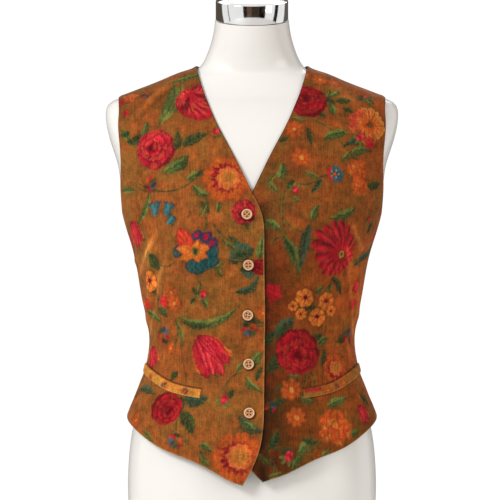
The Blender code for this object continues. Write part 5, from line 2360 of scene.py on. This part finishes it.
@dataclass
class Fronts:
    """The two printed front panels."""

    fineness: int = FRONT_FINENESS
    cut: Cut = Cut(0.262, 0.600, 0.1085)
    made: dict[int, bpy.types.Object] = field(default_factory=dict)

    def stand_off(self, points: Array, side: int) -> Array:
        """Give the inner face's distance from the form.

        Args:
            points: Points on the form.
            side: -1 for the wearer's right, 1 for the left.

        Returns:
            Millimetres off the form.
        """
        folds, creases = (RIGHT_FOLDS, RIGHT_CREASES) if side < 0 else (LEFT_FOLDS, LEFT_CREASES)
        rise = ease_at(points) + fold_rise(points, folds) + crease_rise(points, creases)
        rise -= DART_DEPTH * hump(distance_to_line(points, self.dart(side)), 0, DART_REACH)
        if side < 0:
            rise += lap_rise(points)
        return np.maximum(rise, LEAST_STAND)

    @staticmethod
    def tone(points: Array, side: int) -> Array:
        """Give the ground's tone at each point, partly painted shade: the left front is darker toward the lap
        and toward its hem, the right front over its shoulders.

        Args:
            points: Points of the outer face.
            side: -1 for the wearer's right, 1 for the left.

        Returns:
            A factor for each channel.
        """
        if side < 0:
            shoulder_share = smooth_step((points[:, 2] - 560) / 50)
            return mix(np.ones(3), np.array([0.74, 0.76, 0.74]), shoulder_share)
        share = smooth_step((points[:, 0] - LAP_EDGE) / 105)
        low = mix(np.array([0.42, 0.30, 0.22]), np.array([1.30, 0.98, 0.80]), share)
        high = mix(np.array([0.74, 0.73, 0.72]), np.array([0.98, 0.90, 0.85]), share)
        tone = mix(high, low, smooth_step((480 - points[:, 2]) / 110))
        return tone * mix(np.ones(3), np.array([0.62, 0.74, 0.60]), smooth_step((300 - points[:, 2]) / 100))

    def relief(self, points: Array, side: int) -> Array:
        """Give the height of the finer folds and creases alone."""
        folds, creases = (RIGHT_FOLDS, RIGHT_CREASES) if side < 0 else (LEFT_FOLDS, LEFT_CREASES)
        return fold_rise(points, folds[3:]) + crease_rise(points, creases)

    def dart(self, side: int) -> Array:
        """Draw the dart's seam on the form."""
        return seen_from_front(RIGHT_DART if side < 0 else LEFT_DART, side)

    def on_cloth(self, route: Array, side: int) -> Array:
        """Move a line of points from the form out to the panel's outer face."""
        return route + outward(route) * (self.stand_off(route, side) + CLOTH)[:, None]

    def sew(self, work: Paintwork, panel: Panel, side: int) -> None:
        """Draw the dart and the side seam, a painted shadow in the pocket's slit, a painted highlight along
        the hem and the lower front edge, and painted shade along the upper front edge, the shoulder and the
        armhole.

        Args:
            work: The panel's colours.
            panel: The panel.
            side: -1 for the wearer's right.
        """
        work.line(self.on_cloth(self.dart(side), side), 0.8, 0.75, Ink.SEAM)
        # Painted shadow in the pocket's opening
        work.line(self.on_cloth(Welts.slit(side), side), 1.1, 0.9, Ink.SHADE_LINE)
        rows, columns = panel.grid.shape[:2]
        at_seam = np.repeat(np.arange(rows), columns) <= FRONT_UNDERARM_ROW * self.fineness
        under_neck = panel.flat[:, 2] < NECK_FOOT
        first, last = panel.away["first"], panel.away["last"]
        # The hem and the front edge below the neck get a painted highlight; the front edge above it, the
        # shoulder and the armhole get painted shade
        light = np.minimum(panel.away["bottom"], np.where(under_neck, first, FAR))
        dark = np.minimum(np.where(under_neck, FAR, first), panel.away["top"])
        dark = np.minimum(dark, np.where(at_seam, FAR, last))
        work.lay_over(0.75 * inside(0.9 - light, 1.0), Ink.EDGE_HIGHLIGHT)
        work.lay_over(0.8 * inside(0.7 - dark, 1.0), Ink.SHADE_LINE)
        work.lay_over(0.5 * inside(0.5 - np.where(at_seam, last, FAR), 0.8), Ink.SEAM)

    def paint_fold_light_and_shade(self, work: Paintwork, panel: Panel, side: int) -> None:
        """Paint light and shade on the folds: lighter where the cloth rises, darker in its troughs, and
        painted highlights along the crests.

        Args:
            work: The panel's colours.
            panel: The panel.
            side: -1 for the wearer's right.
        """
        relief = self.relief(panel.flat, side)
        # Painted light and shade from the height of the folds
        work.colour *= (1 + 0.50 * np.clip(relief / 1.7, -0.9, 1))[:, None]
        for crest in RIGHT_CREST_HIGHLIGHTS if side < 0 else LEFT_CREST_HIGHLIGHTS:
            away = distance_to_line(panel.outer, self.on_cloth(seen_from_front(crest, side), side))
            # Painted highlight along each crest, with a wider haze of painted light round it
            highlight_core = hump(away, 0, CREST_HIGHLIGHT_WIDTH)
            highlight_haze = hump(away, 0, CREST_HIGHLIGHT_HAZE)
            work.colour = mix(work.colour * (1 + 0.28 * highlight_core + 0.42 * highlight_haze)[:, None], Ink.CREST_HIGHLIGHT, 0.13 * highlight_core)

    def fasten(self, work: Paintwork, panel: Panel) -> None:
        """Draw the buttonholes as painted shade lines, and a painted shadow under each button and down to its
        right.

        Args:
            work: The right panel's colours.
            panel: The right panel.
        """
        for out, middle in BUTTON_PLACES:
            ends = [Edge(out, middle - BUTTONHOLE_HALF), Edge(out, middle + BUTTONHOLE_HALF)]
            slit = self.on_cloth(seen_from_front(ends, -1), -1)
            # Painted shade in the buttonhole's slit
            work.line(slit, 0.7, 0.8, Ink.SHADE_LINE)
            seat = slit.mean(axis=0)
            # Painted shadow: a dark patch right under the button that shows through its holes, and one
            # shifted down and to the right
            for place, strength, less in ((seat, 0.95, 0.1), (seat + BUTTON_SHADOW_SHIFT, 0.8, 0.0)):
                away = np.linalg.norm(panel.outer - place, axis=1)
                work.lay_over(strength * inside(BUTTON_WIDTH / 2 - less - away), Ink.BUTTON_SHADOW)

    def paint(self, side: int, panel: Panel) -> Array:
        """Print a panel, draw its sewing and paint its light and shade.

        Args:
            side: -1 for the wearer's right.
            panel: The panel.

        Returns:
            A colour for each point of its outer face.
        """
        work = Paintwork(panel.outer, panel.normals, Ink.GROUND * self.tone(panel.outer, side))
        if side < 0:
            work.print_on(RIGHT_STEMS, RIGHT_LEAVES, RIGHT_BLOOMS)
        else:
            work.print_on(LEFT_STEMS, LEFT_LEAVES, LEFT_BLOOMS)
        work.go_round(side)
        self.sew(work, panel, side)
        self.paint_fold_light_and_shade(work, panel, side)
        if side < 0:
            self.fasten(work, panel)
            return work.colour
        # Painted shade: the left front is darkened a little all over, and more in a band beside the lap's
        # edge, where the right front shades it
        lap = np.exp(-(((panel.outer[:, 0] - LAP_EDGE) / 9) ** 2))
        lap = lap * smooth_step((486 - panel.flat[:, 2]) / 30)
        return work.colour * (0.90 - 0.5 * lap)[:, None]

    def build(self, finish: bpy.types.Material) -> None:
        """Args:
            finish: The printed cloth.
        """
        for side, name in SIDES:
            grid = refine(front_patch(side), self.fineness, FRONT_UNDERARM_ROW, None)
            panel = Panel(grid, self.stand_off(grid.reshape(-1, 3), side))
            made = panel.shell(f"front_{name}_cloth", self.paint(side, panel), Ink.LINING, side > 0)
            declare(made, finish, f"front_{name}")
            self.cut.declare(made, "dress_form")
            self.made[side] = made


@dataclass
class Backs:
    """The two halves of the plain back."""

    fineness: int = BACK_FINENESS
    cut: Cut = Cut(0.225, 0.515, 0.0936)

    def dart(self, side: int) -> Array:
        """Draw the back dart's seam on the form."""
        return curve(round_the_side(BACK_DART, side), 24)

    def stand_off(self, points: Array, side: int) -> Array:
        """Give the inner face's distance from the form.

        Args:
            points: Points on the form.
            side: -1 for the wearer's right, 1 for the left.

        Returns:
            Millimetres off the form.
        """
        rise = ease_at(points) + fold_rise(points, BACK_FOLDS)
        rise -= DART_DEPTH * hump(distance_to_line(points, self.dart(side)), 0, BACK_DART_REACH)
        return np.maximum(rise, LEAST_STAND)

    def paint(self, side: int, panel: Panel) -> Array:
        """Colour a half and draw its dart and edges.

        Args:
            side: -1 for the wearer's right.
            panel: The half.

        Returns:
            A colour for each point of its outer face.
        """
        work = Paintwork(panel.outer, panel.normals, Ink.BACK, mottled=False)
        dart = self.dart(side)
        lift = self.stand_off(dart, side) + CLOTH
        work.line(dart + outward(dart) * lift[:, None], 1.0, 0.7, Ink.LINING * 0.4)
        rim = np.minimum(panel.away["bottom"], panel.away["top"])
        work.lay_over(0.5 * inside(2.2 - rim, 1.4), Ink.BACK * 1.5)
        work.lay_over(0.5 * inside(0.7 - panel.away["first"], 1.0), Ink.LINING * 0.4)
        return work.colour

    def build(self, finish: bpy.types.Material) -> None:
        """Args:
            finish: The back's cloth.
        """
        for side, name in SIDES:
            grid = refine(back_patch(side), self.fineness, BACK_UNDERARM_ROW, BACK_NECK_COLUMN)
            panel = Panel(grid, self.stand_off(grid.reshape(-1, 3), side))
            made = panel.shell(f"back_{name}_cloth", self.paint(side, panel), Ink.LINING, side < 0)
            declare(made, finish, f"back_{name}")
            self.cut.declare(made, "dress_form")


@dataclass
class Welts:
    """The two narrow pocket welts, lying on the fronts."""

    cut: Cut = Cut(0.127, 0.0135, 0.0017, held="laid")
    left_ground_share: float = 0.58
    # How strong the painted highlight along each welt's lower edge is
    right_edge_highlight: float = 0.7
    left_edge_highlight: float = 0.35

    @staticmethod
    def middle(side: int, count: int) -> Array:
        """Draw the welt's middle line on the form.

        Args:
            side: -1 for the wearer's right, 1 for the left.
            count: How many points to give.

        Returns:
            The line's points.
        """
        rows = np.array(WELT, float)
        run = lengths_along(round_the_side(WELT, side))
        line = spline(run, rows, np.linspace(0, run[-1], count))
        return on_form(line[:, 0], line[:, 1], side)

    @classmethod
    def across(cls, side: int, count: int) -> tuple[Array, Array]:
        """Give the middle line and the way across the welt at each of its points.

        Args:
            side: -1 for the wearer's right, 1 for the left.
            count: How many points to give.

        Returns:
            The line's points, and a way of length one for each.
        """
        line = cls.middle(side, count)
        heading = np.gradient(line, axis=0)
        heading /= np.linalg.norm(heading, axis=1)[:, None]
        return line, np.cross(heading, outward(line)) * side

    @classmethod
    def slit(cls, side: int) -> Array:
        """Draw the pocket's opening, just above the welt's top edge.

        Args:
            side: -1 for the wearer's right, 1 for the left.

        Returns:
            The opening's points on the form.
        """
        line, across = cls.across(side, 24)
        up = across * np.sign(across[:, 2:3])
        return settle(line + up * (WELT_WIDTH / 2 + 1.0))

    def paint(self, side: int, panel: Panel, rising: bool) -> Array:
        """Print a welt and draw its edges: a painted highlight along the lower one, and seam lines along the
        upper one and the ends.

        Args:
            side: -1 for the wearer's right.
            panel: The welt.
            rising: Whether its rows run upward.

        Returns:
            A colour for each point of its outer face.
        """
        ground = Ink.WELT if side < 0 else mix(Ink.WELT, Ink.BROWN, self.left_ground_share)
        work = Paintwork(panel.outer, panel.normals, ground)
        work.scatter(row for row in WELT_BLOOMS if (row.x - CHART_MIDDLE) * side > 0)
        lower, upper = panel.away["bottom"], panel.away["top"]
        if not rising:
            lower, upper = upper, lower
        ends = np.minimum(panel.away["first"], panel.away["last"])
        # Painted highlight along the lower edge, stronger on the right welt
        light = self.right_edge_highlight if side < 0 else self.left_edge_highlight
        work.lay_over(light * inside(1.1 - lower, 1.0), Ink.EDGE_HIGHLIGHT)
        work.lay_over(0.5 * inside(0.8 - upper, 1.0), Ink.SEAM)
        work.lay_over(0.5 * inside(0.8 - ends, 1.0), Ink.SEAM)
        return work.colour

    def build(self, fronts: Fronts, finish: bpy.types.Material) -> None:
        """Args:
            fronts: The panels that they lie on.
            finish: The welts' cloth.
        """
        for side, name in SIDES:
            line, across = self.across(side, WELT_COLUMNS + 1)
            steps = np.linspace(-WELT_WIDTH / 2, WELT_WIDTH / 2, WELT_ROWS + 1)
            grid = np.array([settle(line + across * step, HOLD_ROUNDS) for step in steps])
            flat = grid.reshape(-1, 3)
            stand = height_on(outer_face(fronts.made[side]), flat, outward(flat)).reshape(grid.shape[:2])
            stand = stand.max(axis=0) * 0.5 + stand * 0.5
            panel = Panel(grid, stand.ravel() + LAY_GAP, WELT_DEPTH, WELT_ROLL, WELT_REACH)
            rising = across[0, 2] > 0
            colour = self.paint(side, panel, rising)
            made = panel.shell(f"welt_{name}_cloth", colour, Ink.WELT, (side > 0) == rising)
            declare(made, finish, f"welt_{name}")
            self.cut.declare(made, f"front_{name}_cloth")


@dataclass
class Buttons:
    """Five four-hole wooden buttons and their thread."""

    sides: int = 48
    rim: float = 0.78
    groove: float = 0.64
    thread_radius: float = 0.13
    turns: tuple[float, ...] = (44.0, 3.0, -9.0, 6.0, -4.0)

    def profile(self) -> list[tuple[float, float]]:
        """List radius and height of each ring, from the back's middle to the face's.

        Returns:
            Radius and height in millimetres.
        """
        shares = [
            (0.60, 0.0), (0.80, 0.02), (0.90, 0.30), (0.97, 0.85), (1.00, BUTTON_DEPTH - 1.25),
            (0.98, BUTTON_DEPTH - 0.80), (0.93, BUTTON_DEPTH - 0.34), (0.86, BUTTON_DEPTH - 0.07),
            (self.rim, BUTTON_DEPTH), (0.73, BUTTON_DEPTH - 0.06), (0.68, BUTTON_DEPTH - 0.30),
            (0.65, BUTTON_DEPTH - 0.78), (0.60, BUTTON_DEPTH - 0.98), (0.54, BUTTON_DEPTH - 1.04),
            (0.40, BUTTON_DEPTH - 1.08), (0.12, BUTTON_DEPTH - 1.10),
        ]
        return [(BUTTON_WIDTH / 2 * share, height) for share, height in shares]

    @staticmethod
    def hole_ways() -> list[tuple[float, float]]:
        """Give the unit ways from a button's middle to its four holes."""
        turns = [math.radians(45 + 90 * corner) for corner in range(4)]
        return [(math.cos(turn), math.sin(turn)) for turn in turns]

    def near_hole(self, place: Vector, reach: float) -> bool:
        """Tell whether a place on the button is within reach of a hole's middle, in millimetres."""
        ways = self.hole_ways()
        return any(math.hypot(place.x - HOLE_SPREAD * x, place.y - HOLE_SPREAD * y) < reach for x, y in ways)

    def pattern(self) -> bpy.types.Object:
        """Make one button round the origin, facing up, with its holes cut.

        Returns:
            The button.
        """
        button = lathe(self.profile(), self.sides)
        for x, y in self.hole_ways():
            bpy.ops.object.select_all(action="DESELECT")
            bpy.ops.mesh.primitive_cylinder_add(
                vertices=20,
                radius=HOLE_WIDTH / 2 * MM,
                depth=BUTTON_DEPTH * 3 * MM,
                location=(HOLE_SPREAD * MM * x, HOLE_SPREAD * MM * y, 0),
            )
            cutter = bpy.context.object
            cut = button.modifiers.new("hole", "BOOLEAN")
            cut.operation = "DIFFERENCE"
            cut.object = cutter
            bpy.ops.object.select_all(action="DESELECT")
            button.select_set(True)
            bpy.context.view_layer.objects.active = button
            bpy.ops.object.modifier_apply(modifier=cut.name)
            bpy.data.objects.remove(cutter, do_unlink=True)
        bpy.ops.object.shade_smooth_by_angle(angle=math.radians(40))
        return button

    def shade(self, mesh: bpy.types.Mesh) -> None:
        """Colour the turned wood, with painted light and shade: a painted highlight on the rim, painted shade
        in the groove, down the side and in the holes.

        Args:
            mesh: The button's mesh.
        """
        pale, tan, dark = srgb(240, 192, 146), srgb(202, 143, 96), srgb(62, 28, 12)
        radius = BUTTON_WIDTH / 2
        colours = []
        for face in mesh.polygons:
            # Painted shade: a hole's walls are nearly black
            in_hole = abs(face.normal.z) < 0.5 and self.near_hole(face.center / MM, HOLE_WIDTH / 2 * 1.02)
            for index in face.vertices:
                place = mesh.vertices[index].co / MM
                away = math.hypot(place.x, place.y) / radius
                # Painted highlight on the rim; painted shade in the groove, down the side and low on it
                colour = mix(tan, pale, math.exp(-(((away - self.rim) / 0.1) ** 2)))
                colour = mix(colour, dark, 0.65 * math.exp(-(((away - self.groove) / 0.06) ** 2)))
                colour = mix(colour, dark, 0.5 * min(max((away - 0.84) / 0.1, 0), 1))
                colour = mix(colour, dark, 0.75 * (place.z < 1.9 and away > 0.9))
                # Painted shade round each hole's mouth
                if self.near_hole(place, HOLE_WIDTH * 0.53):
                    colour = dark
                colours.append((*(srgb(14, 7, 4) if in_hole else colour), 1.0))
        layer = mesh.color_attributes.new(name="print", type="FLOAT_COLOR", domain="CORNER")
        layer.data.foreach_set("color", np.array(colours, np.float32).ravel())

    def seat(self, tree: BVHTree, shown: Edge) -> Matrix:
        """Find a button's place on the cloth, clear of it all round.

        Args:
            tree: The cloth's outer face.
            shown: Where the button shows from the front.

        Returns:
            The button's place.
        """
        seat = seen_from_front([shown], side=-1)
        normal = outward(seat)
        turn = Vector(normal[0]).to_track_quat("Z", "Y").to_matrix()
        angles = np.radians(np.arange(0, 360, 30))
        rim = [turn @ Vector((math.cos(a), math.sin(a), 0)) * BUTTON_WIDTH / 2 for a in angles]
        around = np.concatenate([seat, seat + np.array(rim)])
        stand = height_on(tree, around, np.repeat(normal, len(around), axis=0)).max() + SEAT_GAP
        return Matrix.Translation(Vector((seat + normal * stand)[0] * MM)) @ turn.to_4x4()

    def stitches(self) -> bpy.types.Object:
        """Make the paired threads of one button round the origin, as fine round arches.

        Returns:
            The threads, as one object.
        """
        bars = []
        middle = HOLE_SPREAD * math.sqrt(0.5)
        for row in (-1, 1):
            beside = Vector((0, row * (middle - 0.3), 0))
            reach = middle - 0.5
            arch = ((-reach, 0.3), (-reach, 1.75), (-reach + 0.25, 2.05), (0, 2.1))
            arch += ((reach - 0.25, 2.05), (reach, 1.75), (reach, 0.3))
            bars.append([Vector((out, 0, up)) + beside for out, up in arch])
        curve_data = bpy.data.curves.new("stitches", "CURVE")
        curve_data.dimensions = "3D"
        curve_data.bevel_depth = self.thread_radius * MM
        curve_data.bevel_resolution = 2
        curve_data.use_fill_caps = True
        for bar in bars:
            line = curve_data.splines.new("POLY")
            line.points.add(len(bar) - 1)
            for point, place in zip(line.points, bar):
                point.co = (*(place * MM), 1)
        made = bpy.data.objects.new("stitches", curve_data)
        bpy.context.scene.collection.objects.link(made)
        bpy.ops.object.select_all(action="DESELECT")
        made.select_set(True)
        bpy.context.view_layer.objects.active = made
        bpy.ops.object.convert(target="MESH")
        made = bpy.context.object
        made.data.shade_smooth()
        return made

    def build(self, panel: bpy.types.Object, wood: bpy.types.Material, thread: bpy.types.Material) -> None:
        """Copy the button and its stitches to their five places.

        Args:
            panel: The front that they lie on.
            wood: Their material.
            thread: The thread's.
        """
        tree = outer_face(panel)
        pattern, stitches = self.pattern(), self.stitches()
        self.shade(pattern.data)
        for number, (shown, turn) in enumerate(zip(BUTTON_PLACES, self.turns), 1):
            place = self.seat(tree, shown) @ Matrix.Rotation(math.radians(turn), 4, "Z")
            turned = (pattern, f"button_{number}_turned", wood, f"button_{number}")
            sewn = (stitches, f"button_{number}_thread", thread, None)
            for source, name, finish, node in (turned, sewn):
                copy = source.copy()
                copy.data = source.data.copy()
                bpy.context.scene.collection.objects.link(copy)
                settle_object(copy, name, place)
                copy.data.materials.clear()
                declare(copy, finish, node)
        for source in (pattern, stitches):
            bpy.data.objects.remove(source, do_unlink=True)


@dataclass
class DressForm:
    """The smooth form and the chrome cap on its neck."""

    sides: int = 144
    rings: int = 210
    cap_sides: int = 128

    def ring(self, height: float) -> Array:
        """Find one ring of the form, tipped forward in the neck.

        Args:
            height: The height.

        Returns:
            The ring's points.
        """
        tilt = math.tan(NECK_TILT) * smooth_step((height - TILT_START) / (NECK_TOP - TILT_START))
        turns = np.arange(self.sides) * 360 / self.sides
        side = np.where(turns < 180, 1.0, -1.0)
        heights = np.full(self.sides, float(height))
        for _ in range(6):
            points = on_form(turns, heights, side)
            side_y = section_at(np.array([height]))[1]
            heights = height + tilt * (points[:, 1] - side_y)
        return points

    def ring_heights(self) -> Array:
        """Space the rings evenly along the form's outline, not its height.

        Returns:
            The rings' heights.
        """
        rows = PROFILE[PROFILE[:, 0] <= NECK_TOP]
        run = lengths_along(rows[:, :2])
        return np.interp(np.linspace(0, run[-1], self.rings + 1), run, rows[:, 0])

    def build(self, gloss: bpy.types.Material) -> None:
        """Make the form from a grid that is wrapped into a tube and closed at both ends.

        Args:
            gloss: Its material.
        """
        bpy.ops.object.select_all(action="DESELECT")
        bpy.ops.mesh.primitive_grid_add(x_subdivisions=self.sides, y_subdivisions=self.rings, size=2)
        made = bpy.context.object
        rings = [self.ring(height) for height in self.ring_heights()]
        for point in made.data.vertices:
            column = round((point.co.x + 1) / 2 * self.sides) % self.sides
            point.co = rings[round((point.co.y + 1) / 2 * self.rings)][column] * MM

        def close() -> None:
            """Merge the tube's seam, fill its ends and turn its normals outward."""
            bpy.ops.mesh.select_all(action="SELECT")
            bpy.ops.mesh.remove_doubles(threshold=0.00001)
            bpy.ops.mesh.select_all(action="DESELECT")
            bpy.ops.mesh.select_non_manifold(extend=False)
            bpy.ops.mesh.fill_holes(sides=0)
            bpy.ops.mesh.select_all(action="SELECT")
            bpy.ops.mesh.normals_make_consistent(inside=False)

        in_edit(close)
        bpy.ops.object.shade_smooth_by_angle(angle=math.radians(50))
        settle_object(made, "dress_form", Matrix.Identity(4))
        declare(made, gloss, "form")

    def build_cap(self, chrome: bpy.types.Material) -> None:
        """Make the chrome cap: a plain band with a rolled lip under a low dome.

        Args:
            chrome: Its material.
        """
        radius = CAP_RADIUS
        profile = [
            (radius * 0.90, 0.0), (radius - 1.2, 0.0), (radius - 0.4, 0.35), (radius, 1.2),
            (radius, CAP_BAND - 1.4), (radius - 0.3, CAP_BAND - 0.5),
            (radius - 1.2, CAP_BAND), (radius - 2.2, CAP_BAND + 0.1),
        ]
        dome = [(0.90, 0.28), (0.78, 0.52), (0.60, 0.76), (0.36, 0.93), (0.12, 1.0)]
        profile += [(radius * out, CAP_BAND + CAP_DOME * up) for out, up in dome]
        made = lathe(profile, self.cap_sides)
        bpy.ops.object.shade_smooth_by_angle(angle=math.radians(35))
        side_y = section_at(np.array([NECK_TOP]))[1][0]
        place = Matrix.Translation(Vector((0, side_y, NECK_TOP)) * MM)
        place = place @ Matrix.Rotation(NECK_TILT, 4, "X") @ Matrix.Translation((0, 0, SEAM_GAP * MM))
        settle_object(made, "neck_cap_chrome", place)
        declare(made, chrome, "neck_cap")


@dataclass
class Studio:
    """A pale floor, soft light and a long lens straight from the front."""

    distance: float = 24.0
    sensor_width: float = 36.0
    field_width: float = 0.660
    middle_x: float = -0.0026
    middle_z: float = 0.4092
    plane_y: float = -0.05
    aim_z: float = 0.42
    floor_radius: float = 1.5
    card_reach: float = 1.45
    card_foot: float = 0.01
    card_top: float = 1.5
    soft_light: float = 0.50
    cards: tuple[tuple[float, float, tuple[float, float, float]], ...] = (
        (-180, -109, (0.10, 0.08, 0.06)),
        (-83, -80, (0.02, 0.02, 0.02)),
        (-28, -16, (0.02, 0.015, 0.01)),
        (-16, -1, (0.14, 0.08, 0.055)),
        (-1, 24, (0.05, 0.035, 0.025)),
        (24, 44, (0.004, 0.004, 0.004)),
        (77, 91, (0.02, 0.02, 0.02)),
        (126, 180, (0.12, 0.11, 0.10)),
    )

    def floor(self) -> None:
        """Lay a round pale floor."""
        bpy.ops.object.select_all(action="DESELECT")
        bpy.ops.mesh.primitive_circle_add(
            vertices=96, radius=self.floor_radius, fill_type="NGON", location=(0, 0, -0.0005)
        )
        made = bpy.context.object
        made.name = "floor"
        made.data.materials.append(PaleFloor().dress())

    def camera(self) -> None:
        """Set up the camera."""
        data = bpy.data.cameras.new("camera")
        data.sensor_width = self.sensor_width
        data.lens = self.sensor_width * (self.distance + self.plane_y) / self.field_width
        data.clip_end = 100.0
        made = bpy.data.objects.new("camera", data)
        made.location = (self.middle_x, -self.distance, self.middle_z)
        made.rotation_euler = (math.radians(90), 0, 0)
        bpy.context.scene.collection.objects.link(made)
        bpy.context.scene.camera = made

    def lamp(
        self,
        name: str,
        place: tuple[float, float, float],
        size: float,
        power: float,
        tint: tuple[float, float, float] = (1.0, 1.0, 1.0),
    ) -> None:
        """Hang one square soft light that looks at the garment.

        Args:
            name: Its name.
            place: Where it hangs, in metres.
            size: The length of its side.
            power: Its power in watts.
            tint: Its colour.
        """
        data = bpy.data.lights.new(name, "AREA")
        data.shape = "SQUARE"
        data.size = size
        data.energy = power
        data.color = tint
        made = bpy.data.objects.new(name, data)
        made.location = place
        made.rotation_euler = (Vector((0, 0, self.aim_z)) - Vector(place)).to_track_quat("-Z", "Y").to_euler()
        bpy.context.scene.collection.objects.link(made)

    def card(self, name: str, start: float, end: float, shade: tuple[float, float, float]) -> None:
        """Stand a curved dark card that only reflections see, for the chrome.

        Args:
            name: Its name.
            start: Where it starts round the neck, in degrees to the right of the camera.
            end: Where it ends.
            shade: Its colour.
        """
        steps = max(2, int(abs(end - start) / 5) + 1)
        places, faces = [], []
        for i, angle in enumerate(np.radians(np.linspace(start, end, steps))):
            across, along = self.card_reach * math.sin(angle), -self.card_reach * math.cos(angle)
            places += [(across, along, self.card_foot), (across, along, self.card_top)]
            if i:
                faces.append((2 * i - 2, 2 * i, 2 * i + 1, 2 * i - 1))
        mesh = bpy.data.meshes.new(name)
        mesh.from_pydata(places, [], faces)
        made = bpy.data.objects.new(name, mesh)
        bpy.context.scene.collection.objects.link(made)
        shader = Shader(f"{name}_look")
        shader.fixed({"Base Color": (0, 0, 0, 1), "Specular IOR Level": 0.0, "Roughness": 1.0})
        shader.fixed({"Emission Color": (*shade, 1), "Emission Strength": 1.0})
        mesh.materials.append(shader.material)
        made.visible_camera = False
        made.visible_diffuse = False
        made.visible_shadow = False

    def world(self) -> None:
        """Light everything softly, with a white background."""
        world = bpy.data.worlds.new("studio")
        world.use_nodes = True
        bpy.context.scene.world = world
        tree = world.node_tree
        path = tree.nodes.new("ShaderNodeLightPath")
        shown = tree.nodes["Background"].outputs[0]
        tree.nodes["Background"].inputs["Color"].default_value = (1.0, 0.975, 0.94, 1)
        tree.nodes["Background"].inputs["Strength"].default_value = self.soft_light
        for ray, strength in (("Is Glossy Ray", 1.0), ("Is Camera Ray", 1.05)):
            plain = tree.nodes.new("ShaderNodeBackground")
            plain.inputs["Color"].default_value = (1, 1, 1, 1)
            plain.inputs["Strength"].default_value = strength
            both = tree.nodes.new("ShaderNodeMixShader")
            tree.links.new(path.outputs[ray], both.inputs[0])
            tree.links.new(shown, both.inputs[1])
            tree.links.new(plain.outputs[0], both.inputs[2])
            shown = both.outputs[0]
        tree.links.new(shown, tree.nodes["World Output"].inputs[0])

    def build(self) -> None:
        """Set the whole studio up."""
        scene = bpy.context.scene
        scene.view_settings.view_transform = "Standard"
        scene.view_settings.look = "None"
        self.floor()
        self.camera()
        self.world()
        self.lamp("key", (-2.0, -1.9, 1.8), 1.0, 62)
        self.lamp("fill", (2.2, -1.9, 0.9), 1.6, 17, (1.0, 0.94, 0.87))
        self.lamp("back", (0.4, 2.4, 1.8), 1.6, 26)
        for number, (start, end, shade) in enumerate(self.cards):
            self.card(f"card_{number + 1}", start, end, shade)


def main() -> None:
    """Build the scene piece by piece."""
    logging.basicConfig(level=logging.INFO, format="%(message)s")
    Studio().build()
    form = DressForm()
    form.build(GlossWhite().dress())
    form.build_cap(Chrome().dress())
    fronts = Fronts()
    fronts.build(Velveteen("printed_velveteen_look").dress())
    Backs().build(BackCloth().dress())
    Welts().build(fronts, Velveteen("welt_velveteen_look", wale=0.8, patches=0.5).dress())
    Buttons().build(fronts.made[-1], TurnedWood().dress(), Thread().dress())


if __name__ == "__main__":
    main()
